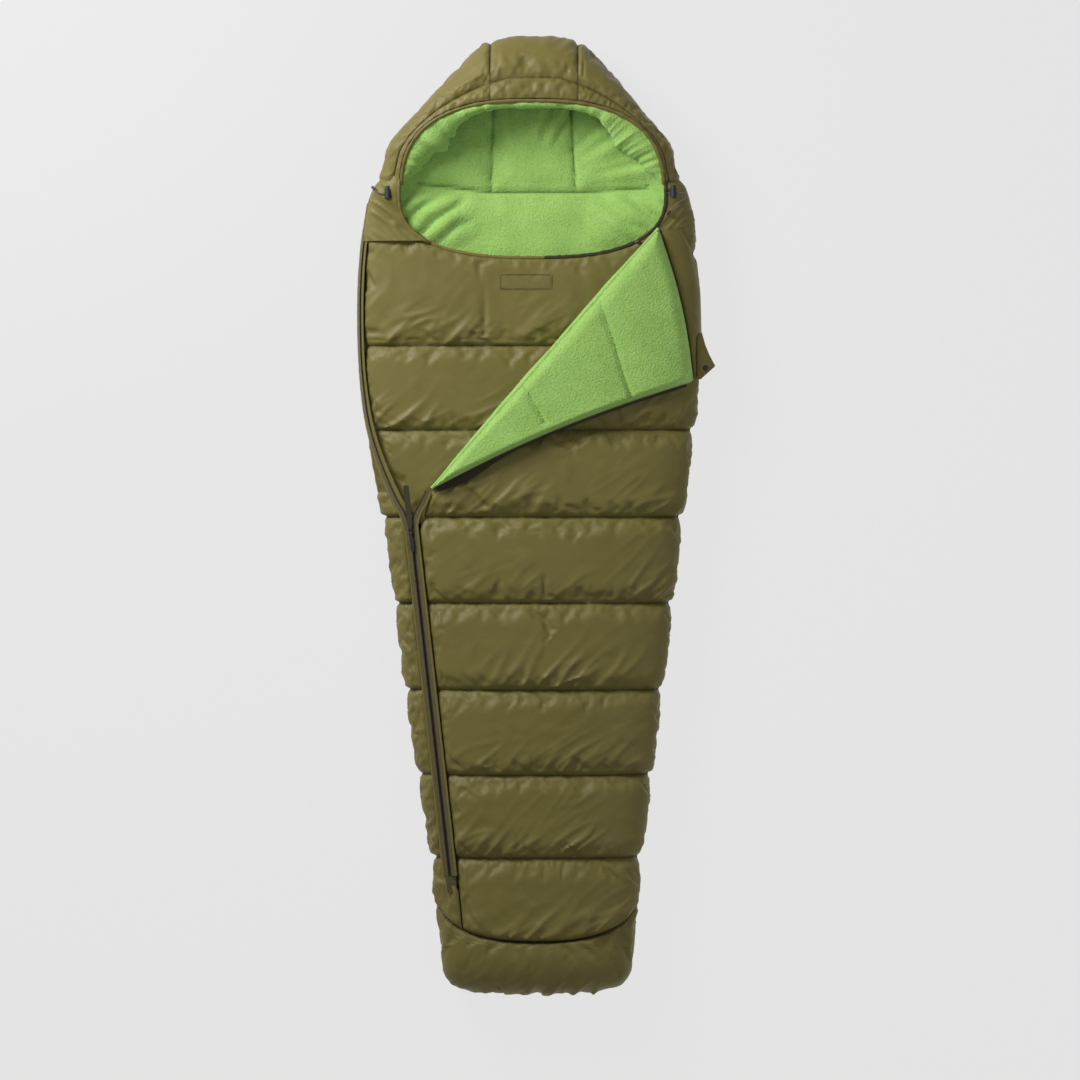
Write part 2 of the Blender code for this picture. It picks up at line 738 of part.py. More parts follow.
def flap_grid(depth):
    """Grid of the folded corner. Depth 0 is its shell, which faces down."""
    off_fold = flap_outward(FOLD_LOW, FOLD_HIGH) * FOLD_GAP
    low, high = FOLD_LOW + off_fold, FOLD_HIGH + off_fold
    outward = flap_outward(FOLD_LOW, FLAP_CORNER)
    grid = []
    for step in (0.0, 0.05, 0.16, 0.32, 0.50, 0.68, 0.84, 0.93):
        start = low.lerp(FLAP_CORNER, step) + outward * flap_sag(step)
        end = high.lerp(FLAP_CORNER, step)
        end += Vector((0.012 * math.sin(step * math.pi), 0.0, 0.0))
        row = []
        for share in spread(0.0, 1.0, 8):
            place = start.lerp(end, share)
            edge = min(share, 1 - share, 0.10) / 0.10
            taper = 0.65 + 0.35 * math.sin(edge * math.pi / 2)
            place.z = upper_z(place.x, place.y) + FLAP_CLEARANCE + depth * taper
            row.append(place)
        grid.append(row)
    return grid


def flap_right_edge(share):
    """A point on the flap's right edge."""
    place = (FOLD_HIGH + flap_outward(FOLD_LOW, FOLD_HIGH) * FOLD_GAP).lerp(FLAP_CORNER, share)
    return place + Vector((0.012 * math.sin(share * math.pi), 0.0, 0.0))


def from_pivot(grid):
    """Points of the flap, measured from its pivot."""
    return [[place - FLAP_PIVOT for place in row] for row in grid]


def make_flap(pivot):
    """The folded corner with its layers, neck hem, zip tape and coil."""
    spans = {
        "flap_shell": ("shell", (0.0, SHELL)),
        "flap_fill": ("fill", (SHELL + LAYER_GAP, FLAP_LOFT - LINING - LINING_GAP)),
        "flap_lining": ("fleece", (FLAP_LOFT - LINING, FLAP_LOFT)),
    }
    for name, (material, depths) in spans.items():
        bm = grid_solid(from_pivot(flap_grid(depths[1])), from_pivot(flap_grid(depths[0])))
        add_object(name, mesh_from(bm, name), material, pivot)
    make_flap_hem(pivot)
    path = [place - FLAP_PIVOT for place in flap_path()]
    banks = [0.0] * len(path)
    coil = (-COIL_WIDTH - 0.0004, 0.0)
    mesh = strip_mesh("flap_zip_coil", path, banks, *coil, COIL_HEIGHT)
    add_object("flap_zip_coil", mesh, "coil", pivot)
    mesh = strip_mesh("flap_zip_tape", path, banks, 0.0004, TAPE_WIDTH, TAPE_THICKNESS)
    add_object("flap_zip_tape", mesh, "tape", pivot)


def make_flap_hem(pivot):
    """The neck hem along the flap's right edge."""
    low, high = [], []
    for share in spread(0.0, 0.92, 9):
        width = 0.014 + 0.010 * share
        start = flap_right_edge(share) + Vector((0.0015, 0.0, 0.0))
        middle, half = outline(start.y)
        width = min(width, middle + half * 0.965 - start.x)
        row = [start + Vector((width * s, 0.0, 0.0)) for s in (0.0, 0.35, 0.7, 1.0)]
        for place in row:
            place.z = upper_z(place.x, place.y) + 0.004
        low.append(row)
        high.append([place + Vector((0, 0, HEM_THICKNESS)) for place in row])
    bm = grid_solid(from_pivot(high), from_pivot(low))
    add_object("flap_neck_hem", mesh_from(bm, "flap_neck_hem"), "shell", pivot)


def make_tab(flap_pivot):
    """The pointed closure tab at the end of the neck hem, and its snap."""
    pivot = add_empty("tab_pivot", TAB_HINGE - FLAP_PIVOT, None, flap_pivot)
    plan = ((0.0022, -0.026), (0.033, -0.0265), (0.0455, 0.0), (0.027, 0.019), (0.0022, 0.023))
    add_object("closure_tab", extruded("closure_tab", plan, -0.0010, 0.0012), "shell", pivot)
    bm = bmesh.new()
    bmesh.ops.create_cone(bm, cap_ends=True, segments=20, radius1=0.0065, radius2=0.0052,
                          depth=0.0024)
    bmesh.ops.translate(bm, verts=bm.verts, vec=(0.021, -0.002, 0.0028))
    add_object("tab_snap", mesh_from(bm, "tab_snap"), "plastic", pivot)


# ---- Slider and pullers ----------------------------------------------------------------------


def box(bm, low, high):
    """Add a box between two corners."""
    made = bmesh.ops.create_cube(bm, size=1.0)["verts"]
    size = [h - l for l, h in zip(low, high)]
    middle = [(h + l) / 2 for l, h in zip(low, high)]
    bmesh.ops.scale(bm, verts=made, vec=size)
    bmesh.ops.translate(bm, verts=made, vec=middle)


def extruded(name, outline_points, low, high):
    """A mesh with a flat outline, between two heights."""
    bm = bmesh.new()
    face = bm.faces.new([bm.verts.new((x, y, low)) for x, y in outline_points])
    grown = bmesh.ops.extrude_face_region(bm, geom=[face])
    lifted = [v for v in grown["geom"] if isinstance(v, bmesh.types.BMVert)]
    bmesh.ops.translate(bm, verts=lifted, vec=(0, 0, high - low))
    bmesh.ops.recalc_face_normals(bm, faces=bm.faces)
    return mesh_from(bm, name)


def slider_plate(half_foot, half_head):
    """Outline of a slider plate, wider at its head end."""
    return [(-half_foot, -0.012), (half_foot, -0.012), (half_head, 0.004), (half_head - 0.001, 0.010),
            (0.003, 0.012), (-0.003, 0.012), (-half_head + 0.001, 0.010), (-half_head, 0.004)]


def union_into(target, tool_mesh):
    """Join a mesh to an object with a Boolean, and hide the tool."""
    tool = bpy.data.objects.new(target.name + "_tool", tool_mesh)
    bpy.context.scene.collection.objects.link(tool)
    tool.parent = target.parent
    tool.hide_render = True
    tool.display_type = "WIRE"
    modifier = target.modifiers.new("join", "BOOLEAN")
    modifier.operation = "UNION"
    modifier.object = tool


def box_mesh(name, low, high):
    """A box as a mesh."""
    bm = bmesh.new()
    box(bm, low, high)
    return mesh_from(bm, name)


def make_slider(pivot):
    """The slider body: two plates, the post between the coils, side flanges and two bails."""
    plate = slider_plate(0.0052, 0.0068)
    body = add_object("slider_body", extruded("slider_body", plate, 0.0017, 0.0029), "metal", pivot)
    union_into(body, extruded("slider_low", plate, -0.0029, -0.0017))
    union_into(body, box_mesh("slider_post", (-0.0006, 0.0050, -0.0023), (0.0006, 0.0110, 0.0023)))
    for side in (-1, 1):
        for low, high in ((0.0008, 0.0022), (-0.0022, -0.0008)):
            x = sorted((side * 0.0040, side * 0.0051))
            flange = box_mesh("slider_flange", (x[0], -0.0115, low), (x[1], 0.0020, high))
            union_into(body, flange)
    for bar in (OUTER_BAR, LONG_BAR):
        near, far = bar.y - BAR_HALF, bar.y + BAR_HALF
        low, high = bar.z - BAR_HALF, bar.z + BAR_HALF
        union_into(body, box_mesh("bail_left", (-0.0047, near, 0.0024), (-0.0036, far, high)))
        union_into(body, box_mesh("bail_right", (0.0036, near, 0.0024), (0.0047, far, high)))
        union_into(body, box_mesh("bail_bar", (-0.0042, near, low), (0.0042, far, high)))


def round_bar(name, radius, half_length):
    """A round bar along X."""
    bm = bmesh.new()
    turn = Matrix.Rotation(math.pi / 2, 4, "Y")
    bmesh.ops.create_cone(bm, cap_ends=True, segments=16, radius1=radius, radius2=radius,
                          depth=2 * half_length, matrix=turn)
    return mesh_from(bm, name)


def make_puller(name, length, width, direction, material, pivot):
    """A flat pull lying along Y, with an eye round the bail's bar."""
    right = [(EYE_HALF_WIDTH, 0.0014), (EYE_HALF_WIDTH, 0.006), (width / 2, 0.011),
             (width / 2, length - 0.004), (width / 2 - 0.003, length)]
    points = right + [(-x, y) for x, y in reversed(right)]
    half = PULLER_THICKNESS / 2
    mesh = extruded(name, [(x, y * direction) for x, y in points], -half, half)
    puller = add_object(name, mesh, material, pivot)
    union_into(puller, round_bar("eye", EYE_RADIUS, EYE_HALF_WIDTH))
    cut_with(puller, round_bar("eye_bore", EYE_BORE, 2 * EYE_HALF_WIDTH))


def make_pullers(slider_pivot):
    """The moulded outer puller, towards the foot, and the long fabric one, towards the head."""
    outer = add_empty("outer_puller_pivot", OUTER_BAR, None, slider_pivot)
    make_puller("outer_puller", 0.042, 0.009, -1, "plastic", outer)
    inner = add_empty("long_puller_pivot", LONG_BAR, None, slider_pivot)
    make_puller("long_puller", 0.098, 0.013, 1, "tape", inner)


# ---- Cord locks --------------------------------------------------------------------------------
def cylinder(name, radius, low, high, segments=24):
    """A round bar along Y."""
    bm = bmesh.new()
    turn = Matrix.Rotation(math.pi / 2, 4, "X")
    bmesh.ops.create_cone(bm, cap_ends=True, segments=segments, radius1=radius, radius2=radius,
                          depth=high - low, matrix=turn)
    bmesh.ops.translate(bm, verts=bm.verts, vec=(0, (low + high) / 2, 0))
    return mesh_from(bm, name)


def cut_with(target, mesh):
    """Cut a mesh out of an object with a Boolean."""
    cutter = bpy.data.objects.new(target.name + "_cutter", mesh)
    bpy.context.scene.collection.objects.link(cutter)
    cutter.parent = target.parent
    cutter.hide_render = True
    cutter.display_type = "WIRE"
    modifier = target.modifiers.new("cut", "BOOLEAN")
    modifier.operation = "DIFFERENCE"
    modifier.object = cutter


def make_cord_lock(side, place):
    """A barrel with a sprung button. The cord runs through both, along X."""
    pivot = add_empty(side + "_lock_pivot", place)
    half = LOCK_LENGTH / 2
    body = add_object(side + "_lock_body", cylinder("lock_body", LOCK_RADIUS, -half, half),
                      "plastic", pivot)
    cut_with(body, cylinder("lock_bore", LOCK_BORE, -half + 0.002, half + 0.01))
    cut_with(body, box_mesh("cord_hole", (-0.02, -0.0024, -0.0024), (0.02, 0.0024, 0.0024)))
    low = -half + 0.0075
    button = add_object(side + "_lock_button",
                        cylinder("lock_button", LOCK_BORE - 0.0004, low, half + 0.006),
                        "plastic", pivot)
    window = box_mesh("window", (-0.02, -0.0024, -0.0024), (0.02, 0.0024 + BUTTON_TRAVEL, 0.0024))
    cut_with(button, window)
    path = []
    turns, start, end = 2.5, -half + 0.0030, low - 0.0010
    for step in range(int(turns * 10) + 1):
        angle = step / 10 * 2 * math.pi
        y = start + (end - start) * step / (turns * 10)
        path.append(Vector((0.0036 * math.cos(angle), y, 0.0036 * math.sin(angle))))
    add_tube(side + "_lock_spring", path, 0.0004, "metal", pivot, 1)


def make_drawcord(side, points):
    """The free tail of the hood's drawcord, and the moulded end on it."""
    path = curve_through(points, 34)
    add_tube(side + "_cord_tail", path, CORD_RADIUS, "cord")
    ahead = (path[-1] - path[-3]).normalized()
    turn = ahead.to_track_quat("Y", "Z").to_matrix()
    pivot = add_empty(side + "_end_pivot", path[-1] + ahead * 0.0003, turn)
    add_object(side + "_cord_end", cylinder("cord_end", 0.0032, 0.0, 0.010, 16), "plastic", pivot)


# ---- Assembly ------------------------------------------------------------------------------------
def clear_scene():
    """Start from an empty scene."""
    for item in list(bpy.data.objects):
        bpy.data.objects.remove(item, do_unlink=True)


def main():
    """Build every sub-part."""
    clear_scene()
    make_back()
    make_front()
    make_side()
    make_foot()
    make_inner()
    make_hood()
    make_zip()
    flap_pivot = add_empty("flap_pivot", FLAP_PIVOT)
    make_flap(flap_pivot)
    make_tab(flap_pivot)
    heading = math.atan2(ZIP_END.x - SLIDER_AT.x, SLIDER_AT.y - ZIP_END.y)
    turn = Matrix.Rotation(heading, 3, "Z") @ Matrix.Rotation(-ZIP_BANK, 3, "Y")
    slider_pivot = add_empty("slider_pivot", SLIDER_AT, turn)
    make_slider(slider_pivot)
    make_pullers(slider_pivot)
    make_cord_lock("right", RIGHT_LOCK)
    make_cord_lock("left", LEFT_LOCK)
    make_drawcord("right", RIGHT_TAIL)
    make_drawcord("left", LEFT_TAIL)


main()
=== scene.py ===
"""A mummy sleeping bag of quilted olive fabric with a green fleece lining, lying open on its back."""

import math

import bmesh
import bpy
import numpy as np
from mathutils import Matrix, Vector, noise


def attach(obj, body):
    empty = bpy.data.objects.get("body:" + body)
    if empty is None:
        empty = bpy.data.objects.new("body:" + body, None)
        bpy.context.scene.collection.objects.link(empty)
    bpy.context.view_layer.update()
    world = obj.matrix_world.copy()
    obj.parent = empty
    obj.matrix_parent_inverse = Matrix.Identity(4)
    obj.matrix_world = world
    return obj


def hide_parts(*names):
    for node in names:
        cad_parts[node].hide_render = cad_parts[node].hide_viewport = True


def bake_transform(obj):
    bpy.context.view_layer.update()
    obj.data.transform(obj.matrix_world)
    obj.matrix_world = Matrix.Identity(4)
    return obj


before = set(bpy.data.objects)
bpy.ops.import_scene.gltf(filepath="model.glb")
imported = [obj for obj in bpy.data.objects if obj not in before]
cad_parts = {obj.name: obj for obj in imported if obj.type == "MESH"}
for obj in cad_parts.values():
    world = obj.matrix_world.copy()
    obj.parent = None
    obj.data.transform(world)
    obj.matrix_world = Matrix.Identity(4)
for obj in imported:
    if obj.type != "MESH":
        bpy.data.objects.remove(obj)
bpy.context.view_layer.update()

bl_info = {
    "name": "Mummy Sleeping Bag",
    "version": (1, 0, 0),
    "blender": (4, 5, 0),
    "location": "View3D > Sidebar > Sleeping Bag",
    "description": "Builds a quilted mummy sleeping bag with its hood, zip, folded corner and cord locks",
    "category": "Object",
}

# ---- The bag's shape, in metres: the same walls as the part's solids ------------------------
SEAM_Z = 0.045
SEAM_GAP = 0.001
TOP_Z = 0.125
TOP_POWER = 3.0
FOOT_Y = -1.075
HEAD_Y = 1.075
END_LENGTH = 0.10
END_BLUNT = 0.97
CORNER_RADIUS = 0.10
INNER_RISE = 0.038
BACK_LOFT = 0.032
FRONT_LOFT = 0.037
INNER_LOFT = 0.022
HOOD_LOFT = 0.026
FLAP_LOFT = 0.034
LINING = 0.0016
FACE_X, FACE_Y = -0.010, 0.720
FACE_HALF_WIDTH, FACE_UP, FACE_DOWN, FACE_POWER = 0.300, 0.209, 0.145, 2.6
HOOD_BASE_Y, HOOD_NECK_Z, HOOD_BRIM_Z = 0.762, 0.100, 0.150
HOOD_SEAM_X = (-0.105, 0.092)
HOOD_LINING_Y = 0.740
FOLD_LOW = np.array((-0.236, 0.058, 0.0))
FOLD_HIGH = np.array((0.272, 0.640, 0.0))
FLAP_CORNER = np.array((0.352, 0.298, 0.0))
FLAP_GAP = 0.002
SLIDER_AT = np.array((-0.281, -0.040, 0.106))
ZIP_END = np.array((-0.195, -0.812, 0.106))
ZIP_BANK = math.radians(17.0)
ZIP_MARGIN = 0.016
FOOT_SEAM_MIDDLE, FOOT_SEAM_SIDE = -0.960, -0.860
NECK_TOP_Y = 0.695
COIL_SLOT = 0.0018
SIDE_LOFT = 0.020
SEAM_REACH = 0.06               # how far from a seam its shading reaches
SEAM_HALF = 0.0025              # half the gap between two walls that meet on the foot seam
NEAR_EDGE = 0.9995              # the even measure at which a wall stops, just short of the side seam
JOIN_FRONT, JOIN_SIDE = -0.800, -0.790
SIDE_FOOT_Y = -0.870
BACK_SEAM_Y = 0.762
FLOOR_CLEARANCE = 0.0006
STITCH_LIFT = 0.0006
HOOD_CLIMBS = 26                # points of the hood's walls from the side seam to the opening
HEM_WIDTH = 0.046
HEAD_MIDDLE, HEAD_ROUNDING = -0.006, 1.6
CROSS_SEAMS = (-0.772, -0.586, -0.395, -0.200, -0.007, 0.189, 0.379, 0.588)

LOWER_FLAT = 0.58               # share of the under side's width that lies flat
END_SHARES = (0.03, 0.35, 0.68)  # heights of the rows that close a blunt end

# Plan outline: distance along the bag, left edge and right edge.
OUTLINE = np.array((
    (-1.075, -0.140, 0.135), (-1.055, -0.193, 0.193), (-1.000, -0.214, 0.214),
    (-0.777, -0.237, 0.237), (-0.552, -0.275, 0.266), (-0.283, -0.311, 0.300),
    (-0.058, -0.340, 0.324), (0.121, -0.376, 0.349), (0.256, -0.396, 0.364),
    (0.400, -0.404, 0.370), (0.520, -0.404, 0.369), (0.660, -0.392, 0.356),
    (0.735, -0.374, 0.338), (0.765, -0.351, 0.315), (0.830, -0.331, 0.297),
    (0.902, -0.270, 0.239), (0.974, -0.205, 0.183), (1.046, -0.134, 0.116),
    (1.075, -0.090, 0.078),
))

INNER_SEAMS = CROSS_SEAMS[5:7]
NECK_CORNER_TOP, NECK_CORNER_BOTTOM = 0.778, 0.615
TAB_LEFT_X = 0.3578
VIEW_WIDTH, SENSOR_WIDTH, LENS = 2.424, 36.0, 150.0

# The open zip's left coil: distance along the bag, x, height and tilt in degrees.
LEFT_OPEN = np.array((
    (-0.040, -0.281, 0.106, 17.0), (-0.010, -0.287, 0.106, 18.0), (0.038, -0.3145, 0.1015, 27.0),
    (0.130, -0.3545, 0.084, 45.0), (0.211, -0.3785, 0.070, 56.0), (0.310, -0.3925, 0.062, 64.0),
    (0.400, -0.3975, 0.060, 66.0), (0.500, -0.3975, 0.060, 66.0), (0.600, -0.391, 0.060, 66.0),
    (0.700, -0.376, 0.060, 66.0),
))

RIGHT_TAIL = (
    (0.2925, 0.7200, 0.1120), (0.3000, 0.7200, 0.1120), (0.3130, 0.7200, 0.1120),
    (0.3260, 0.7200, 0.1120), (0.3330, 0.7180, 0.1110), (0.3350, 0.7120, 0.1080),
    (0.3300, 0.7060, 0.1080), (0.3200, 0.7000, 0.1100), (0.3090, 0.6900, 0.1130),
    (0.2990, 0.6790, 0.1150),
)
LEFT_TAIL = (
    (-0.3170, 0.7200, 0.0960), (-0.3240, 0.7200, 0.0960), (-0.3380, 0.7200, 0.0960),
    (-0.3500, 0.7200, 0.0955), (-0.3580, 0.7230, 0.0930), (-0.3640, 0.7290, 0.0890),
)


# ---- Settings that a user would change -------------------------------------------------------
class BagSizes(bpy.types.PropertyGroup):
    """Sizes of the quilting and trim."""

    grid: bpy.props.FloatProperty(
        name="Cloth Grid", description="Spacing of the simulated cloth's points",
        default=0.0082, min=0.006, max=0.03, unit="LENGTH")
    seam_depth: bpy.props.FloatProperty(
        name="Seam Depth", description="How far a quilting seam lies below its channel's crown",
        default=0.017, min=0.0, max=0.03, unit="LENGTH")
    crown: bpy.props.FloatProperty(
        name="Crown", description="How far a channel's crown stands above the wall's even surface",
        default=0.003, min=0.0, max=0.01, unit="LENGTH")
    fold: bpy.props.FloatProperty(
        name="Fold Height", description="Height of the slanting folds above each seam",
        default=0.0068, min=0.0, max=0.01, unit="LENGTH")
    rim_depth: bpy.props.FloatProperty(
        name="Edge Depth", description="How far a wall's sewn edge lies below its crown",
        default=0.009, min=0.0, max=0.02, unit="LENGTH")
    swell: bpy.props.FloatProperty(
        name="Swell Limit", description="Most that the cloth may move when it is inflated",
        default=0.011, min=0.0, max=0.02, unit="LENGTH")
    stitch: bpy.props.FloatProperty(
        name="Stitch Length", description="Length of one stitch of the seams",
        default=0.0042, min=0.002, max=0.01, unit="LENGTH")
    tooth: bpy.props.FloatProperty(
        name="Tooth Pitch", description="Distance between the teeth of a zip coil",
        default=0.0026, min=0.0015, max=0.01, unit="LENGTH")
    pile: bpy.props.FloatProperty(
        name="Fleece Pile", description="Height of the curls of the fleece",
        default=0.0016, min=0.0, max=0.006, unit="LENGTH")


class BagCloth(bpy.types.PropertyGroup):
    """How the shell's cloth behaves while it is inflated."""

    frames: bpy.props.IntProperty(
        name="Frames", description="Steps of the cloth simulation", default=16, min=2, max=60)
    growth: bpy.props.FloatProperty(
        name="Spare Cloth", description="Share by which the cloth is larger than the space it is sewn in",
        default=0.055, min=0.0, max=0.3, subtype="FACTOR")
    pressure: bpy.props.FloatProperty(
        name="Pressure", description="Push of the filling on the cloth", default=2.2, min=0.0, max=20.0)
    bending: bpy.props.FloatProperty(
        name="Bending Stiffness", description="Resistance of the cloth to bending",
        default=0.06, min=0.0, max=10.0)


class BagColours(bpy.types.PropertyGroup):
    """Colours of the fabrics and trim."""

    shell: bpy.props.FloatVectorProperty(
        name="Shell", description="Colour of the olive shell", default=(0.170, 0.143, 0.036),
        size=3, min=0, max=1, subtype="COLOR")
    shell_deep: bpy.props.FloatVectorProperty(
        name="Shell in Shade", description="Colour of the shell's darker threads",
        default=(0.118, 0.098, 0.023), size=3, min=0, max=1, subtype="COLOR")
    fleece: bpy.props.FloatVectorProperty(
        name="Fleece", description="Colour of the green lining", default=(0.345, 0.560, 0.150),
        size=3, min=0, max=1, subtype="COLOR")
    # Used for random darker patches of the fleece and for painted shade between its curls
    fleece_patch_tone_and_root_shade: bpy.props.FloatVectorProperty(
        name="Fleece Roots", description="Colour between the curls of the lining",
        default=(0.200, 0.390, 0.065), size=3, min=0, max=1, subtype="COLOR")
    # Painted shade: the fleece darkens to this colour down in its seam valleys
    fleece_shade: bpy.props.FloatVectorProperty(
        name="Fleece Shade", description="Colour of the fleece down in its seams",
        default=(0.030, 0.085, 0.008), size=3, subtype="COLOR")
    trim: bpy.props.FloatVectorProperty(
        name="Trim", description="Colour of the zip tape", default=(0.098, 0.080, 0.032),
        size=3, min=0, max=1, subtype="COLOR")
    # Thread is also painted into the shell's seams and wall edges, partly as thread and partly as painted
    # shade in the seam valleys
    thread: bpy.props.FloatVectorProperty(
        name="Thread", description="Colour of the seams' thread and dark binding",
        default=(0.034, 0.028, 0.012), size=3, min=0, max=1, subtype="COLOR")
    moulded: bpy.props.FloatVectorProperty(
        name="Moulded Parts", description="Colour of the locks, puller and snap",
        default=(0.012, 0.012, 0.011), size=3, min=0, max=1, subtype="COLOR")
    coil: bpy.props.FloatVectorProperty(
        name="Zip Coil", description="Colour of the zip's teeth", default=(0.028, 0.022, 0.014),
        size=3, min=0, max=1, subtype="COLOR")
    cord: bpy.props.FloatVectorProperty(
        name="Cord", description="Colour of the drawcord", default=(0.13, 0.115, 0.085),
        size=3, min=0, max=1, subtype="COLOR")
    floor: bpy.props.FloatVectorProperty(
        name="Floor", description="Colour of the floor", default=(0.045, 0.045, 0.045),
        size=3, min=0, max=1, subtype="COLOR")


def sizes():
    return bpy.context.scene.bag_sizes


def cloth_settings():
    return bpy.context.scene.bag_cloth


def colours():
    return bpy.context.scene.bag_colours


# ---- Curves and surfaces of the bag -----------------------------------------------------------
def hermite(stations, at):
    """Smooth values between rows of (place, value, value...), for an array of places."""
    at = np.clip(np.asarray(at, float), stations[0, 0], stations[-1, 0])
    low = np.clip(np.searchsorted(stations[:, 0], at, side="right") - 1, 0, len(stations) - 2)
    high = low + 1
    before = np.maximum(np.arange(len(stations)) - 1, 0)
    after = np.minimum(np.arange(len(stations)) + 1, len(stations) - 1)
    slopes = (stations[after] - stations[before]) / (stations[after, :1] - stations[before, :1])
    span = (stations[high, 0] - stations[low, 0])[..., None]
    t = (at - stations[low, 0])[..., None] / span
    start, end = stations[low, 1:], stations[high, 1:]
    return ((2 * t**3 - 3 * t**2 + 1) * start + (t**3 - 2 * t**2 + t) * slopes[low, 1:] * span
            + (3 * t**2 - 2 * t**3) * end + (t**3 - t**2) * slopes[high, 1:] * span)


def outline(y):
    """Middle and half-width of the plan outline."""
    edges = hermite(OUTLINE, y)
    return (edges[..., 0] + edges[..., 1]) / 2, (edges[..., 1] - edges[..., 0]) / 2


def rise_at(across, power=TOP_POWER):
    """Height of a superellipse, from 1 in its middle to 0 at its edge."""
    return np.maximum(0.0, 1 - np.abs(across) ** power) ** (1 / power)


def bow(q):
    """Place across a section, for an even measure q that runs from -1 to 1."""
    return np.sign(q) * np.cos(math.pi / 2 * np.clip(1 - np.abs(q), 0, 1) ** 1.5)


def bow_of(across):
    """The even measure q of a place across a section."""
    across = np.clip(across, -1, 1)
    return np.sign(across) * (1 - (2 / math.pi * np.arccos(np.abs(across))) ** (2 / 3))


def end_share(y, end_y):
    """0 in the body of the bag, and close to 1 at the given end."""
    return END_BLUNT * np.maximum(1.0 - np.abs(y - end_y) / END_LENGTH, 0.0)


def upper(q, y, depth=0.0):
    """Points of the upper side, for the even measure q across. q = 1 is the right seam."""
    middle, half = outline(y)
    across = bow(q)
    foot = end_share(y, FOOT_Y)
    height = (TOP_Z - SEAM_Z - depth) * rise_at(across) * rise_at(foot, 2.5)
    return np.stack((middle + (half - depth) * across, y + depth * foot,
                     SEAM_Z + SEAM_GAP / 2 + height), -1)


def upper_q(x, y, depth=0.0):
    """The even measure across the upper side at x."""
    middle, half = outline(y)
    return bow_of((x - middle) / (half - depth))


def upper_to(qs, ys, depth, near, edges):
    """Upper points whose far edge stays at the same x in plan at every depth."""
    y = ys[:, -1] if near == 0 else ys[:, 0]
    shallow = upper_q(edges, y)[:, None]
    deep = upper_q(edges, y, depth)[:, None]
    fixed = qs[:, :1] if near == 0 else qs[:, -1:]
    return upper(fixed + (qs - fixed) * (deep - fixed) / (shallow - fixed), ys, depth)


def upper_z(x, y):
    """Height of the closed bag's upper side at a place in plan."""
    return upper(upper_q(x, y), y)[..., 2]


def lower(share, y, depth=0.0):
    """Points of the under side. Share runs from -1 at the left seam to 1 at the right."""
    middle, half = outline(y)
    corner = 1 - LOWER_FLAT
    radius = np.minimum(CORNER_RADIUS, 0.8 * half)
    flat = half - radius
    ease = np.clip((1 - np.abs(share)) / corner, 0.0, 1.0) * math.pi / 2
    across = np.where(np.abs(share) > 1 - corner, flat + (radius - depth) * np.cos(ease),
                      flat * np.abs(share) / (1 - corner))
    foot, head = end_share(y, FOOT_Y), end_share(y, HEAD_Y)
    base = SEAM_Z - SEAM_GAP / 2
    sink = (base - depth) * np.sin(ease) * rise_at(foot, 2.5) * rise_at(head, 2.5)
    points = np.stack((middle + np.sign(share) * across, y + depth * (foot - head), base - sink), -1)
    return domed(points, np.clip((y - HEAD_Y + 0.075) / 0.075, 0, 1))


def domed(points, weight):
    """Round the head end in plan, in place of its flat top."""
    aside = np.abs(points[..., 0] - HEAD_MIDDLE)
    lack = np.maximum(HEAD_ROUNDING * aside ** 2 - 0.002, 0.0)
    points[..., 1] -= lack * np.clip((0.106 - aside) / 0.025, 0, 1) * weight
    return points


def zip_x(y):
    """The closed zip's line in plan."""
    return SLIDER_AT[0] + (ZIP_END[0] - SLIDER_AT[0]) * (y - SLIDER_AT[1]) / (ZIP_END[1] - SLIDER_AT[1])


def fold_x(y):
    """The fold's line in plan."""
    return FOLD_LOW[0] + (FOLD_HIGH[0] - FOLD_LOW[0]) * (y - FOLD_LOW[1]) / (FOLD_HIGH[1] - FOLD_LOW[1])


def left_path_x(y):
    """The left coil's line in plan, all along the bag."""
    return np.where(y <= SLIDER_AT[1], zip_x(y), hermite(LEFT_OPEN, y)[..., 0])


def neck_y(x):
    """The neck edge of the inner panel, the lower half of the face opening."""
    across = np.minimum(np.abs(x - FACE_X) / FACE_HALF_WIDTH, 1.0)
    return FACE_Y - FACE_DOWN * rise_at(across, FACE_POWER)


def foot_seam_y(across):
    """The curved seam of the foot panel."""
    return FOOT_SEAM_SIDE + (FOOT_SEAM_MIDDLE - FOOT_SEAM_SIDE) * rise_at(across, 2.4)


def stations(start, end, seams, step):
    """Places from start to end about a step apart, with one on each seam."""
    stops = [start] + [s for s in seams if start + step < s < end - step] + [end]
    places = []
    for low, high in zip(stops[:-1], stops[1:]):
        count = max(2, int(round((high - low) / step)))
        places += list(np.linspace(low, high, count + 1)[:-1])
    return np.array(places + [end])


def even(points, count):
    """Share of the way along a fine polyline for count evenly spaced points on it."""
    steps = np.linalg.norm(np.diff(points, axis=0), axis=1)
    along = np.concatenate(([0.0], np.cumsum(steps)))
    return np.interp(np.linspace(0, along[-1], count), along, np.linspace(0, 1, len(points)))


def normals_of(grid):
    """Unit normals of a grid of points, rows by columns."""
    down = np.gradient(grid, axis=0)
    over = np.gradient(grid, axis=1)
    cross = np.cross(over, down)
    return cross / np.maximum(np.linalg.norm(cross, axis=-1, keepdims=True), 1e-12)


def finer(grid):
    """A grid with a smooth new point between each two, along both ways."""
    for axis in (0, 1):
        g = np.moveaxis(grid, axis, 0)
        padded = np.concatenate((2 * g[:1] - g[1:2], g, 2 * g[-1:] - g[-2:-1]))
        halfway = (9 * (padded[1:-2] + padded[2:-1]) - padded[:-3] - padded[3:]) / 16
        out = np.empty((2 * len(g) - 1,) + g.shape[1:])
        out[0::2], out[1::2] = g, halfway
        grid = np.moveaxis(out, 0, axis)
    return grid


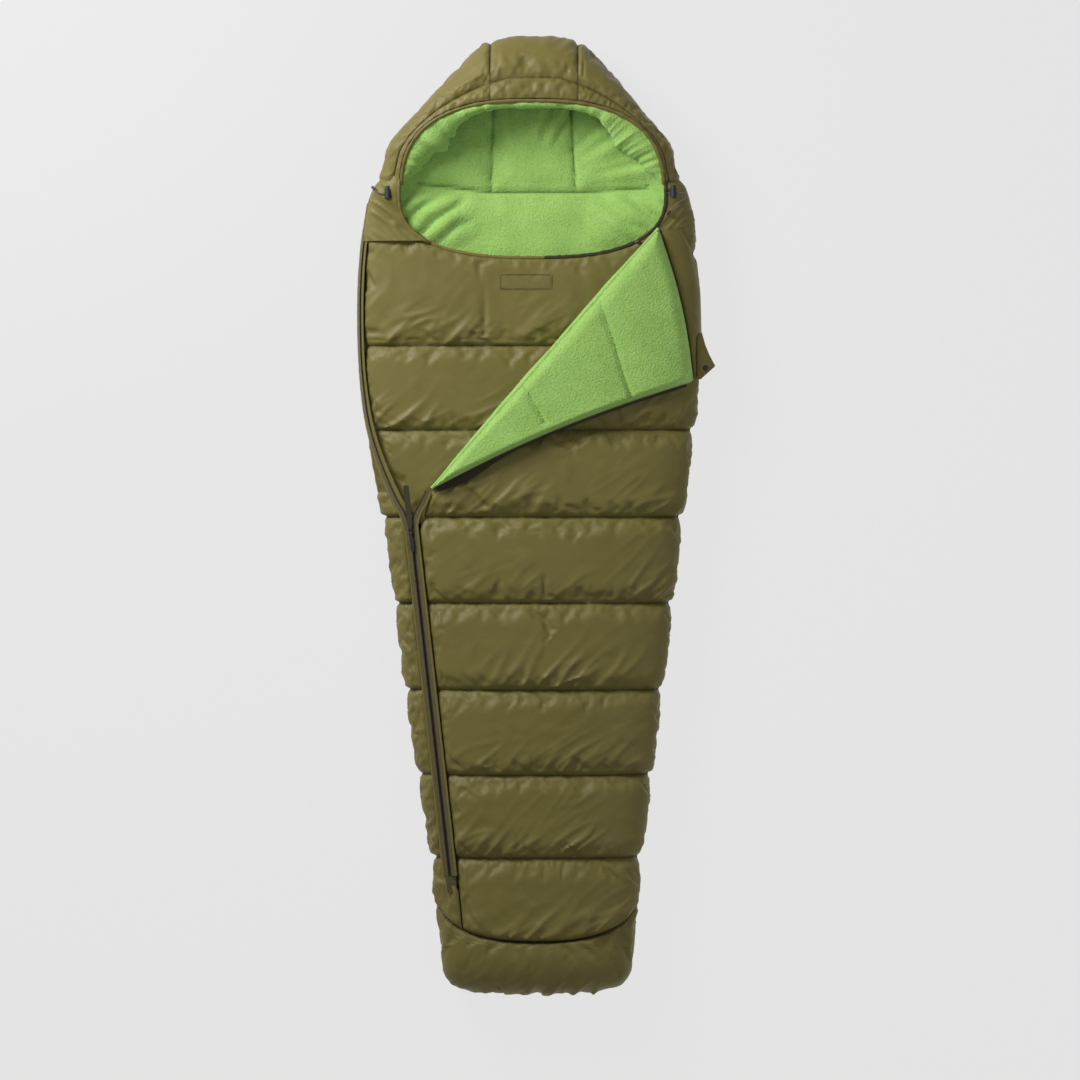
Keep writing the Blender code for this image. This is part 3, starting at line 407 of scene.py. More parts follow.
def noise_field(points, scale, seed):
    """Smooth noise at points, from -1 to 1, with a size along each axis in metres."""
    flat = points.reshape(-1, 3) / np.asarray(scale) + seed * 7.31
    values = np.array([noise.noise(Vector(p)) for p in flat])
    return values.reshape(points.shape[:-1])


def crest(points, scale, seed, width):
    """Thin raised folds that wander along one direction: 1 on a fold, and 0 away from it."""
    field = noise_field(points, scale, seed)
    return np.exp(-(field / width) ** 2)


def puff(distance, half):
    """How full a channel is at a distance from its seam: 0 on the seam and 1 on its crown."""
    t = np.clip(distance / half, 0.0, 1.0)
    return (1 - (1 - t) ** 2.0) ** 0.62


# ---- Meshes ---------------------------------------------------------------------------------
def link(name, mesh, material, body):
    """Link a mesh as one named piece that rides on a body."""
    mesh.materials.append(material)
    piece = bpy.data.objects.new(name, mesh)
    bpy.context.scene.collection.objects.link(piece)
    if body:
        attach(piece, body)
    return piece


def add_piece(name, mesh, material, body, slot, *nodes):
    """Link a mesh as a piece that rides on a body, stands for nodes and takes a material."""
    piece = link(name, mesh, material, body)
    if nodes:
        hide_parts(*nodes)
    return piece


def grid_faces(rows, columns, start=0, flip=False):
    """Quads over a grid of points numbered row by row."""
    index = np.arange(rows * columns).reshape(rows, columns) + start
    quads = np.stack((index[:-1, :-1], index[:-1, 1:], index[1:, 1:], index[1:, :-1]), -1).reshape(-1, 4)
    return quads[:, ::-1] if flip else quads


def between(outer, inner):
    """Points and faces of the closed solid between two grids with the same rows and columns."""
    rows, columns = outer.shape[:2]
    count = rows * columns
    index = np.arange(count).reshape(rows, columns)
    rim = np.concatenate((index[0, :-1], index[:-1, -1], index[-1, :0:-1], index[:0:-1, 0]))
    after = np.roll(rim, -1)
    walls = np.stack((after, rim, rim + count, after + count), -1)
    faces = np.concatenate((grid_faces(rows, columns), grid_faces(rows, columns, count, True), walls))
    return np.concatenate((outer.reshape(-1, 3), inner.reshape(-1, 3))), faces.tolist()


def smoothed(mesh, bm, crease):
    """Shade a mesh smooth but for the edges that turn by more than a crease angle in degrees."""
    for face in bm.faces:
        face.smooth = True
    for edge in bm.edges:
        if len(edge.link_faces) == 2 and edge.calc_face_angle(0.0) > math.radians(crease):
            edge.smooth = False
    bm.to_mesh(mesh)
    bm.free()
    return mesh


def mesh_of(name, points, faces):
    """A new mesh, and the same mesh open for editing."""
    mesh = bpy.data.meshes.new(name)
    mesh.from_pydata(points.tolist(), [], faces)
    mesh.update()
    bm = bmesh.new()
    bm.from_mesh(mesh)
    return mesh, bm


def solid_mesh(name, outer, inner):
    """A closed solid between an outer and an inner grid."""
    mesh, bm = mesh_of(name, *between(outer, inner))
    if bm.calc_volume(signed=True) < 0:
        bmesh.ops.reverse_faces(bm, faces=bm.faces)
    return smoothed(mesh, bm, 55)


def seam_layer(mesh, values):
    """Store how near the outer points are to a seam: 1 on it, and 0 from SEAM_REACH away. The shell and
    fleece materials paint seam shade from it.
    """
    layer = mesh.attributes.new("seam", "FLOAT", "POINT")
    data = np.zeros(len(mesh.vertices), np.float32)
    data[:values.size] = np.clip(1 - values.reshape(-1) / SEAM_REACH, 0, 1)
    layer.data.foreach_set("value", data)


def tube(path, radius, sides=8, ends=True):
    """Points and faces of a round tube along a path. The radius may vary along it."""
    path = np.asarray(path, float)
    ahead = np.gradient(path, axis=0)
    ahead /= np.linalg.norm(ahead, axis=1, keepdims=True)
    side = np.cross(ahead, (0.0, 0.0, 1.0))
    weak = np.linalg.norm(side, axis=1) < 1e-3
    side[weak] = np.cross(ahead[weak], (0.0, 1.0, 0.0))
    side /= np.linalg.norm(side, axis=1, keepdims=True)
    up = np.cross(side, ahead)
    turn = np.arange(sides) / sides * 2 * math.pi
    radius = np.broadcast_to(np.asarray(radius, float), (len(path),))
    ring = np.cos(turn)[None, :, None] * side[:, None] + np.sin(turn)[None, :, None] * up[:, None]
    points = (path[:, None] + ring * radius[:, None, None]).reshape(-1, 3)
    index = np.arange(len(path) * sides).reshape(len(path), sides)
    beside = np.roll(index, -1, axis=1)
    faces = np.stack((index[:-1], beside[:-1], beside[1:], index[1:]), -1).reshape(-1, 4).tolist()
    if ends:
        faces += [index[0][::-1].tolist(), index[-1].tolist()]
    return points, faces


def joined(name, shapes):
    """One mesh from several (points, faces) shapes."""
    points, faces, start = [], [], 0
    for p, f in shapes:
        points.append(np.asarray(p))
        faces += [[i + start for i in face] for face in f]
        start += len(p)
    mesh, bm = mesh_of(name, np.concatenate(points), faces)
    bmesh.ops.recalc_face_normals(bm, faces=bm.faces)
    return smoothed(mesh, bm, 48)


def block(centre, axes, half):
    """Points and faces of a small block with chamfered long edges, along three axes."""
    points = []
    for z in (-1, 1):
        for x, y in ((-1, -0.6), (-0.6, -1), (0.6, -1), (1, -0.6), (1, 0.6), (0.6, 1), (-0.6, 1), (-1, 0.6)):
            points.append(centre + axes[0] * half[0] * x + axes[1] * half[1] * y + axes[2] * half[2] * z)
    sides = [[i, (i + 1) % 8, (i + 1) % 8 + 8, i + 8] for i in range(8)]
    return np.array(points), sides + [list(range(7, -1, -1)), list(range(8, 16))]


def resample(path, step):
    """Points at even steps along a polyline."""
    path = np.asarray(path, float)
    along = np.concatenate(([0.0], np.cumsum(np.linalg.norm(np.diff(path, axis=0), axis=1))))
    count = max(2, int(round(along[-1] / step)) + 1)
    at = np.linspace(0, along[-1], count)
    return np.stack([np.interp(at, along, path[:, k]) for k in range(3)], -1)


def curve_through(points, count):
    """Points on a smooth curve through a few chosen ones."""
    rows = np.array([(float(i), *p) for i, p in enumerate(points)])
    return hermite(rows, np.linspace(0, len(points) - 1, count))


# ---- Materials ------------------------------------------------------------------------------
class Nodes:
    """Short ways to add and join the nodes of one tree."""

    def __init__(self, tree):
        self.tree = tree

    def add(self, kind, **values):
        node = self.tree.nodes.new(kind)
        for key, value in values.items():
            setattr(node, key, value)
        return node

    def join(self, source, target):
        self.tree.links.new(source, target)

    def put(self, target, value):
        if isinstance(value, bpy.types.NodeSocket):
            self.join(value, target)
        else:
            target.default_value = value

    def math(self, operation, a, b=0.0, clamp=False):
        node = self.add("ShaderNodeMath", operation=operation, use_clamp=clamp)
        self.put(node.inputs[0], a)
        self.put(node.inputs[1], b)
        return node.outputs[0]

    def mix(self, factor, a, b):
        node = self.add("ShaderNodeMix", data_type="RGBA")
        self.put(node.inputs["Factor"], factor)
        self.put(node.inputs[6], a)
        self.put(node.inputs[7], b)
        return node.outputs[2]

    def stretch(self, vector, scale, turn=0.0):
        node = self.add("ShaderNodeMapping")
        self.join(vector, node.inputs["Vector"])
        node.inputs["Rotation"].default_value = (0.0, 0.0, turn)
        node.inputs["Scale"].default_value = scale
        return node.outputs[0]

    def noise(self, vector, scale, detail=2.0, roughness=0.5, distortion=0.0):
        node = self.add("ShaderNodeTexNoise")
        self.join(vector, node.inputs["Vector"])
        self.put(node.inputs["Scale"], scale)
        node.inputs["Detail"].default_value = detail
        node.inputs["Roughness"].default_value = roughness
        node.inputs["Distortion"].default_value = distortion
        return node.outputs["Fac"]

    def ramp(self, value, low, high):
        node = self.add("ShaderNodeMapRange")
        self.join(value, node.inputs["Value"])
        node.inputs["From Min"].default_value = low
        node.inputs["From Max"].default_value = high
        return node.outputs[0]


def group(name, inputs, outputs):
    """A new shader node group with named sockets, and its input and output nodes."""
    tree = bpy.data.node_groups.new(name, "ShaderNodeTree")
    for label, kind, value in inputs:
        socket = tree.interface.new_socket(name=label, in_out="INPUT", socket_type=kind)
        socket.default_value = value
    for label, kind in outputs:
        tree.interface.new_socket(name=label, in_out="OUTPUT", socket_type=kind)
    nodes = Nodes(tree)
    return nodes, nodes.add("NodeGroupInput"), nodes.add("NodeGroupOutput")


def weave_group():
    """Crossed threads: a height and a mask of the threads that lie on top."""
    if "Weave" in bpy.data.node_groups:
        return bpy.data.node_groups["Weave"]
    n, start, end = group(
        "Weave", [("Threads per Metre", "NodeSocketFloat", 900.0), ("Slub", "NodeSocketFloat", 0.3)],
        [("Height", "NodeSocketFloat"), ("Top", "NodeSocketFloat")])
    place = n.add("ShaderNodeTexCoord").outputs["Object"]
    split = n.add("ShaderNodeSeparateXYZ")
    n.join(place, split.inputs[0])
    turns = n.math("MULTIPLY", start.outputs["Threads per Metre"], 3.14159)
    upright = n.math("ADD", split.outputs["Y"], split.outputs["Z"])
    warp = n.math("ABSOLUTE", n.math("SINE", n.math("MULTIPLY", split.outputs["X"], turns)))
    weft = n.math("ABSOLUTE", n.math("SINE", n.math("MULTIPLY", upright, turns)))
    slub = n.noise(n.stretch(place, (60.0, 600.0, 600.0)), 1.0, 2.0)
    height = n.math("MULTIPLY", n.math("ADD", warp, weft), 0.5)
    height = n.math("ADD", height, n.math("MULTIPLY", slub, start.outputs["Slub"]))
    n.join(height, end.inputs["Height"])
    n.join(n.math("GREATER_THAN", warp, weft), end.inputs["Top"])
    return n.tree


def crumple_group():
    """Creases of thin sewn cloth: gathers that run away from the seams, and long soft folds; also a narrow
    seam mask for the shell's thread colour and painted seam shade.
    """
    if "Crumple" in bpy.data.node_groups:
        return bpy.data.node_groups["Crumple"]
    n, start, end = group(
        "Crumple", [("Gather", "NodeSocketFloat", 1.0), ("Fold", "NodeSocketFloat", 1.0),
                    ("Reach", "NodeSocketFloat", 0.035)],
        [("Height", "NodeSocketFloat"), ("Seam", "NodeSocketFloat")])
    place = n.add("ShaderNodeTexCoord").outputs["Object"]
    nearness = n.add("ShaderNodeAttribute", attribute_name="seam").outputs["Fac"]
    away = n.math("MULTIPLY", n.math("SUBTRACT", 1.0, nearness), SEAM_REACH)
    near = n.math("SUBTRACT", 1.0, n.math("DIVIDE", away, start.outputs["Reach"]), True)
    near = n.math("POWER", near, 1.6)
    gathers = n.noise(n.stretch(place, (95.0, 16.0, 30.0), 0.18), 1.0, 3.0, 0.55, 0.4)
    fans = n.noise(n.stretch(place, (60.0, 14.0, 30.0), -0.5), 1.0, 2.0, 0.5, 0.6)
    gather = n.math("MULTIPLY", n.math("ADD", gathers, n.math("MULTIPLY", fans, 0.7)), near)
    long_folds = n.noise(n.stretch(place, (10.0, 34.0, 20.0), 0.75), 1.0, 3.0, 0.5, 0.9)
    ridge = n.math("ABSOLUTE", n.math("SUBTRACT", long_folds, 0.5))
    fold = n.math("POWER", n.math("SUBTRACT", 1.0, n.math("MULTIPLY", ridge, 5.0), True), 2.0)
    height = n.math("ADD", n.math("MULTIPLY", gather, start.outputs["Gather"]),
                    n.math("MULTIPLY", fold, start.outputs["Fold"]))
    n.join(height, end.inputs["Height"])
    # Seam mask, 1 within about 3 mm of a seam or wall edge: the shell darkens there, partly thread colour and
    # partly painted shade
    seam = n.math("SUBTRACT", 1.0, n.math("DIVIDE", away, 0.0032), True)
    n.join(seam, end.inputs["Seam"])
    return n.tree


def curls_group():
    """The curls of brushed fleece: a height, and a mask of the roots between them, where the fleece gets
    painted shade.
    """
    if "Fleece Curls" in bpy.data.node_groups:
        return bpy.data.node_groups["Fleece Curls"]
    n, start, end = group(
        "Fleece Curls", [("Curls per Metre", "NodeSocketFloat", 190.0)],
        [("Height", "NodeSocketFloat"), ("Roots", "NodeSocketFloat"), ("Patches", "NodeSocketFloat")])
    place = n.add("ShaderNodeTexCoord").outputs["Object"]
    wander = n.add("ShaderNodeTexNoise")
    n.join(place, wander.inputs["Vector"])
    wander.inputs["Scale"].default_value = 120.0
    shift = n.add("ShaderNodeVectorMath", operation="SCALE")
    n.join(wander.outputs["Color"], shift.inputs[0])
    shift.inputs["Scale"].default_value = 0.006
    moved = n.add("ShaderNodeVectorMath", operation="ADD")
    n.join(place, moved.inputs[0])
    n.join(shift.outputs[0], moved.inputs[1])
    cells = n.add("ShaderNodeTexVoronoi", feature="SMOOTH_F1")
    n.join(moved.outputs[0], cells.inputs["Vector"])
    n.join(start.outputs["Curls per Metre"], cells.inputs["Scale"])
    cells.inputs["Smoothness"].default_value = 0.6
    fine = n.noise(place, 700.0, 3.0, 0.6)
    bump = n.math("SUBTRACT", 1.0, cells.outputs["Distance"])
    height = n.math("ADD", bump, n.math("MULTIPLY", fine, 0.45))
    n.join(height, end.inputs["Height"])
    n.join(n.ramp(cells.outputs["Distance"], 0.32, 0.72), end.inputs["Roots"])
    n.join(n.noise(place, 22.0, 3.0, 0.55), end.inputs["Patches"])
    return n.tree


def new_material(name, roughness, sheen=0.0, sheen_tint=(1, 1, 1), specular=0.5, metallic=0.0,
                 sheen_roughness=0.4):
    """A material with a plain Principled shader, and its nodes."""
    material = bpy.data.materials.new(name)
    material.use_nodes = True
    nodes = Nodes(material.node_tree)
    shader = material.node_tree.nodes["Principled BSDF"]
    shader.inputs["Roughness"].default_value = roughness
    shader.inputs["Metallic"].default_value = metallic
    shader.inputs["Specular IOR Level"].default_value = specular
    shader.inputs["Sheen Weight"].default_value = sheen
    shader.inputs["Sheen Roughness"].default_value = sheen_roughness
    shader.inputs["Sheen Tint"].default_value = (*sheen_tint, 1)
    return material, nodes, shader


def use(nodes, tree, **values):
    """Place a node group, with its inputs."""
    node = nodes.add("ShaderNodeGroup")
    node.node_tree = tree
    for name, value in values.items():
        nodes.put(node.inputs[name.replace("_", " ")], value)
    return node


def bump(nodes, height, distance, strength=1.0, normal=None):
    """A Bump node for a height in units of the distance, in metres."""
    node = nodes.add("ShaderNodeBump")
    node.inputs["Strength"].default_value = strength
    node.inputs["Distance"].default_value = distance
    nodes.join(height, node.inputs["Height"])
    if normal is not None:
        nodes.join(normal, node.inputs["Normal"])
    return node.outputs["Normal"]


def shell_material():
    """Olive taffeta: fine weave, gathers at the seams, soft folds and a satin sheen."""
    if "olive_shell" in bpy.data.materials:
        return bpy.data.materials["olive_shell"]
    material, n, shader = new_material(
        "olive_shell", 0.50, sheen=0.05, sheen_tint=(0.95, 0.90, 0.60), specular=0.30)
    c = colours()
    place = n.add("ShaderNodeTexCoord").outputs["Object"]
    weave = use(n, weave_group(), Threads_per_Metre=1100.0, Slub=0.4)
    crumple = use(n, crumple_group(), Gather=0.30, Fold=0.0, Reach=0.024)
    cloud = n.ramp(n.noise(place, 6.0, 3.0, 0.55), 0.3, 0.7)
    colour = n.mix(n.math("MULTIPLY", cloud, 0.35), (*c.shell, 1), (*c.shell_deep, 1))
    colour = n.mix(n.math("MULTIPLY", weave.outputs["Top"], 0.10), colour, (*c.shell_deep, 1))
    worn = n.ramp(n.noise(place, 30.0, 4.0, 0.6), 0.55, 0.8)
    colour = n.mix(n.math("MULTIPLY", worn, 0.10), colour, (0.30, 0.26, 0.12, 1))
    # Painted shade, partly thread: seams and wall edges darken towards the thread colour
    colour = n.mix(n.math("MULTIPLY", crumple.outputs["Seam"], 0.55), colour, (*c.thread, 1))
    n.join(colour, shader.inputs["Base Color"])
    rough = n.math("ADD", n.math("MULTIPLY", cloud, 0.08), 0.46)
    n.join(n.math("ADD", rough, n.math("MULTIPLY", worn, 0.05)), shader.inputs["Roughness"])
    normal = bump(n, crumple.outputs["Height"], 0.0042, 0.9)
    n.join(bump(n, weave.outputs["Height"], 0.00012, 0.6, normal), shader.inputs["Normal"])
    return material


def fleece_material():
    """Green brushed fleece with small curls."""
    if "green_fleece" in bpy.data.materials:
        return bpy.data.materials["green_fleece"]
    material, n, shader = new_material(
        "green_fleece", 0.95, sheen=0.45, sheen_tint=(0.75, 1.0, 0.5), specular=0.15, sheen_roughness=0.55)
    c = colours()
    curls = use(n, curls_group(), Curls_per_Metre=235.0)
    patches = n.ramp(curls.outputs["Patches"], 0.35, 0.65)
    colour = n.mix(n.math("MULTIPLY", patches, 0.30), (*c.fleece, 1), (*c.fleece_patch_tone_and_root_shade, 1))
    # Painted shade between the curls: their roots darken
    colour = n.mix(n.math("MULTIPLY", curls.outputs["Roots"], 0.45), colour, (*c.fleece_patch_tone_and_root_shade, 1))
    # Painted shade: near the seams the fleece darkens towards the Fleece Shade colour
    near = n.add("ShaderNodeAttribute", attribute_name="seam").outputs["Fac"]
    colour = n.mix(n.math("MULTIPLY", n.math("POWER", near, 6.0), 0.8), colour, (*c.fleece_shade, 1))
    n.join(colour, shader.inputs["Base Color"])
    n.join(bump(n, curls.outputs["Height"], sizes().pile, 0.8), shader.inputs["Normal"])
    return material


def webbing_material(name, colour, threads, roughness=0.8):
    """Woven narrow tape, binding or thread."""
    if name in bpy.data.materials:
        return bpy.data.materials[name]
    material, n, shader = new_material(name, roughness, sheen=0.2, specular=0.3)
    place = n.add("ShaderNodeTexCoord").outputs["Object"]
    weave = use(n, weave_group(), Threads_per_Metre=threads, Slub=0.6)
    light = tuple(min(1.0, v * 1.6 + 0.01) for v in colour)
    cloud = n.ramp(n.noise(place, 90.0, 3.0, 0.6), 0.3, 0.7)
    base = n.mix(n.math("MULTIPLY", weave.outputs["Top"], 0.5), (*colour, 1), (*light, 1))
    base = n.mix(n.math("MULTIPLY", cloud, 0.35), base, (*[v * 0.6 for v in colour], 1))
    n.join(base, shader.inputs["Base Color"])
    n.join(bump(n, weave.outputs["Height"], 0.0005, 0.8), shader.inputs["Normal"])
    return material


def moulded_material(name, colour, roughness):
    """Moulded plastic with a fine spark texture and rubbed patches."""
    if name in bpy.data.materials:
        return bpy.data.materials[name]
    material, n, shader = new_material(name, roughness, specular=0.5)
    place = n.add("ShaderNodeTexCoord").outputs["Object"]
    rubbed = n.ramp(n.noise(place, 140.0, 4.0, 0.6), 0.5, 0.75)
    base = n.mix(n.math("MULTIPLY", rubbed, 0.5), (*colour, 1), (*[v * 2.2 + 0.01 for v in colour], 1))
    n.join(base, shader.inputs["Base Color"])
    n.join(n.math("ADD", n.math("MULTIPLY", rubbed, -0.12), roughness), shader.inputs["Roughness"])
    n.join(bump(n, n.noise(place, 2600.0, 2.0), 0.00008, 0.6), shader.inputs["Normal"])
    return material


def metal_material():
    """Dark coated die-cast metal, rubbed bright in places."""
    if "dark_metal" in bpy.data.materials:
        return bpy.data.materials["dark_metal"]
    material, n, shader = new_material("dark_metal", 0.35, metallic=1.0)
    place = n.add("ShaderNodeTexCoord").outputs["Object"]
    rubbed = n.ramp(n.noise(place, 260.0, 4.0, 0.65), 0.5, 0.7)
    base = n.mix(n.math("MULTIPLY", rubbed, 0.6), (0.06, 0.055, 0.048, 1), (0.28, 0.26, 0.22, 1))
    n.join(base, shader.inputs["Base Color"])
    n.join(n.math("ADD", n.math("MULTIPLY", rubbed, -0.12), 0.40), shader.inputs["Roughness"])
    n.join(bump(n, n.noise(place, 1500.0, 3.0), 0.00006, 0.5), shader.inputs["Normal"])
    return material


def floor_material():
    """Pale plain floor."""
    material, _, shader = new_material("pale_floor", 0.9, specular=0.1)
    shader.inputs["Base Color"].default_value = (*colours().floor, 1)
    shader.inputs["Emission Color"].default_value = (1, 1, 1, 1)
    shader.inputs["Emission Strength"].default_value = 0.745
    return material


def tape_material():
    return webbing_material("zip_tape", tuple(colours().trim), 700.0)


def thread_material():
    return webbing_material("seam_thread", tuple(colours().thread), 1500.0)


def coil_material():
    return moulded_material("zip_coil", tuple(colours().coil), 0.42)


def plastic_material():
    return moulded_material("moulded_plastic", tuple(colours().moulded), 0.48)


def cord_material():
    return webbing_material("drawcord", tuple(colours().cord), 600.0, 0.85)


def binding_material():
    return webbing_material("dark_binding", tuple(colours().thread), 500.0)


# ---- Padded walls ----------------------------------------------------------------------------
class Wall:
    """One padded wall: its base surface, how it is sewn, and the nodes that it stands for."""

    def __init__(self, name, surface, fixed_rows, fixed_columns, nodes,
                 loft=FRONT_LOFT, half=0.095, depth=1.0, rim=1.0, folding=1.0):
        self.name, self.surface, self.nodes = name, surface, nodes
        self.fixed_rows, self.fixed_columns = fixed_rows, fixed_columns
        self.loft, self.half, self.depth, self.rim, self.folding = loft, half, depth, rim, folding
        self.base = surface(0.0)
        self.inner = surface(loft)
        self.facing = normals_of(self.base)
        if np.sum(self.facing * (self.base - self.inner)) < 0:
            self.facing = -self.facing
        self.distance = self.seam_distance()
        self.skin = self.sewn()

    def seam_distance(self):
        """Distance of each point to the nearest seam, measured along the rows and columns."""
        along = np.linalg.norm(np.diff(self.base, axis=0), axis=-1)
        over = np.linalg.norm(np.diff(self.base, axis=1), axis=-1)
        far = np.full(self.base.shape[:2], 9.0)
        down = np.concatenate((np.zeros((1, along.shape[1])), np.cumsum(along, 0)))
        side = np.concatenate((np.zeros((over.shape[0], 1)), np.cumsum(over, 1)), 1)
        for row in self.fixed_rows:
            far = np.minimum(far, np.abs(down - down[row]))
        for column in self.fixed_columns:
            far = np.minimum(far, np.abs(side - side[:, column][:, None]))
        self.edge = np.full(far.shape, 9.0)
        for values in (down - down[0], down[-1] - down, side - side[:, :1], side[:, -1:] - side):
            self.edge = np.minimum(self.edge, np.abs(values))
        stops = sorted({0, len(down) - 1, *self.fixed_rows})
        self.height = np.zeros(far.shape)
        for low, high in zip(stops[:-1], stops[1:]):
            span = np.maximum(down[high] - down[low], 1e-6)
            self.height[low:high + 1] = (down[low:high + 1] - down[low]) / span
        return far

    def sewn(self):
        """The skin before it is inflated: pulled down at the seams and edges."""
        deep = sizes().seam_depth * self.depth
        rim = sizes().rim_depth * self.depth * self.rim
        drop = deep * (1 - puff(self.distance, self.half))
        drop = np.maximum(drop, rim * (1 - puff(self.edge, self.half * 0.45)))
        wave = noise_field(self.base, (0.030, 0.075, 0.05), 3) + 0.7 * noise_field(
            self.base @ TURN, (0.022, 0.11, 0.05), 5)
        free = np.clip(np.minimum(self.distance, self.edge) / 0.02, 0, 1)
        drop = drop + 0.0012 * wave * free - sizes().crown * free
        return self.base - self.facing * drop[..., None]

    def folds(self, points, facing, reach, height):
        """Slanting folds of spare cloth, strongest just above each seam."""
        broad = crest(points @ SLANT, (0.17, 0.034, 0.4), 31, 0.20)
        fine = crest(points @ SLANT_LOW, (0.11, 0.024, 0.4), 37, 0.17)
        patch = np.clip(0.45 + 1.5 * noise_field(points, (0.13, 0.10, 0.2), 41), 0, 1.3)
        other = np.clip(0.45 + 1.5 * noise_field(points, (0.10, 0.09, 0.2), 47), 0, 1.3)
        low = np.exp(-((height - 0.06) / 0.30) ** 2)
        weight = (0.12 + 0.88 * low) * np.clip(reach / 0.010, 0, 1) * self.folding
        gather = crest(points @ SLANT_STEEP, (0.045, 0.013, 0.4), 43, 0.22)
        gather = gather * np.exp(-((reach - 0.007) / 0.011) ** 2)
        shift = sizes().fold * ((broad * patch + 0.8 * fine * other) * weight + 0.20 * gather)
        return points + facing * shift[..., None]

    def pinned(self):
        """The rows and columns that are sewn down, as a mask."""
        mask = np.zeros(self.base.shape[:2], bool)
        mask[list(self.fixed_rows)] = True
        mask[:, list(self.fixed_columns)] = True
        mask[0] = mask[-1] = True
        mask[:, 0] = mask[:, -1] = True
        return mask


def turned_by(angle):
    """A matrix that lays a slanting direction in plan along X."""
    cosine, sine = math.cos(angle), math.sin(angle)
    return np.array(((cosine, -sine, 0), (sine, cosine, 0), (0, 0, 1)))


TURN = turned_by(0.9)
SLANT = turned_by(math.radians(48))
SLANT_LOW = turned_by(math.radians(33))
SLANT_STEEP = turned_by(math.radians(72))


def rows_of(places, seams):
    """Numbers of the rows that lie on seams."""
    return [int(np.argmin(np.abs(places - s))) for s in seams if places[0] < s < places[-1]]


def section(y_of, q_start, q_end, count):
    """One evenly spaced row across the upper side, where y may vary across."""
    fine = np.linspace(q_start, q_end, 240)
    return q_start + (q_end - q_start) * even(upper(fine, y_of(fine)), count)


def front_wall():
    """The quilted front panel, from the foot seam up to its fold."""
    step = sizes().grid
    low, join = FOOT_SEAM_MIDDLE, JOIN_FRONT
    places = np.concatenate((np.linspace(low, join, 17)[:-1],
                             stations(join, NECK_TOP_Y, CROSS_SEAMS, step)))
    count = int(0.56 / step)

    def left_of(y):
        if y > FOLD_HIGH[1]:
            return FOLD_HIGH[0] + (y - FOLD_HIGH[1]) * 0.5
        if y > FOLD_LOW[1]:
            return float(fold_x(y))
        side = float(zip_x(min(y, SLIDER_AT[1]))) + ZIP_MARGIN
        if y < SLIDER_AT[1]:
            return side
        return side + (FOLD_LOW[0] - side) * (y - SLIDER_AT[1]) / (FOLD_LOW[1] - SLIDER_AT[1])

    qs, ys = [], []
    for place in places:
        def y_of(q, place=place):
            seam = foot_seam_y(bow(q)) + SEAM_HALF
            share = np.clip((place - low) / (join - low), 0, 1)
            return seam + (join - seam) * share if place < join else np.full_like(q, place)
        mid_y = float(y_of(np.array([-0.7]))[0])
        q_left = float(upper_q(left_of(mid_y), mid_y))
        q = section(y_of, NEAR_EDGE, q_left, count)
        qs.append(q)
        ys.append(y_of(q))
    qs, ys = np.array(qs), np.array(ys)
    edges = np.array([left_of(y) for y in ys[:, -1]])
    return Wall("front_quilt", lambda d: upper_to(qs, ys, d, 0, edges),
                rows_of(places, CROSS_SEAMS), [], ["front_shell", "front_fill"])


def side_wall():
    """The padded strip between the zip and the left side seam."""
    step = sizes().grid
    low, join = SIDE_FOOT_Y, JOIN_SIDE
    places = np.concatenate((np.linspace(low, join, 10)[:-1], stations(join, 0.050, CROSS_SEAMS, step)))
    qs, ys, edges = [], [], []
    for place in places:
        def y_of(q, place=place):
            seam = foot_seam_y(bow(q)) + SEAM_HALF
            share = np.clip((place - low) / (join - low), 0, 1)
            return seam + (join - seam) * share if place < join else np.full_like(q, place)
        y = float(y_of(np.array([-0.80]))[0])
        edge = float(left_path_x(y)) - ZIP_MARGIN - 0.05 * max(y, 0.0)
        edge += (2 * ZIP_MARGIN - 0.0015) * np.clip((-0.809 - y) / 0.012, 0, 1)
        q = section(y_of, float(upper_q(edge, y)), -NEAR_EDGE, 18)
        qs.append(q)
        ys.append(y_of(q))
        edges.append(edge)
    qs, ys, edges = np.array(qs), np.array(ys), np.array(edges)
    return Wall("side_quilt", lambda d: upper_to(qs, ys, d, 1, edges),
                rows_of(places, CROSS_SEAMS), [], ["side_shell", "side_fill"],
                loft=SIDE_LOFT, depth=0.7, half=0.08)


def with_end_face(grid, level):
    """Add rows that close the blunt end at row 0, down or up to a level."""
    rows = np.repeat(grid[:1], len(END_SHARES), axis=0)
    rows[..., 2] = level + (rows[..., 2] - level) * np.array(END_SHARES)[:, None]
    return np.concatenate((rows, grid))


def foot_wall():
    """The padded foot panel below its curved seam."""
    ends = FOOT_Y + END_LENGTH * (1 - np.cos(np.linspace(0, math.pi / 2, 14)))
    count = int(0.52 / sizes().grid)
    qs, ys = [], []
    for y in ends:
        q = section(lambda q, y=y: np.full_like(q, y), NEAR_EDGE, -NEAR_EDGE, count)
        qs.append(q)
        ys.append(np.full_like(q, y))
    for share in np.linspace(0, 1, 12)[1:]:
        def y_of(q, share=share):
            seam = foot_seam_y(bow(q)) - SEAM_HALF
            return ends[-1] + (seam - ends[-1]) * share
        q = section(y_of, NEAR_EDGE, -NEAR_EDGE, count)
        qs.append(q)
        ys.append(y_of(q))
    qs, ys = np.array(qs), np.array(ys)
    return Wall("foot_quilt", lambda d: with_end_face(upper(qs, ys, d), SEAM_Z + SEAM_GAP / 2),
                [], [], ["foot_shell", "foot_fill"], half=0.14, depth=0.8, rim=0.6)


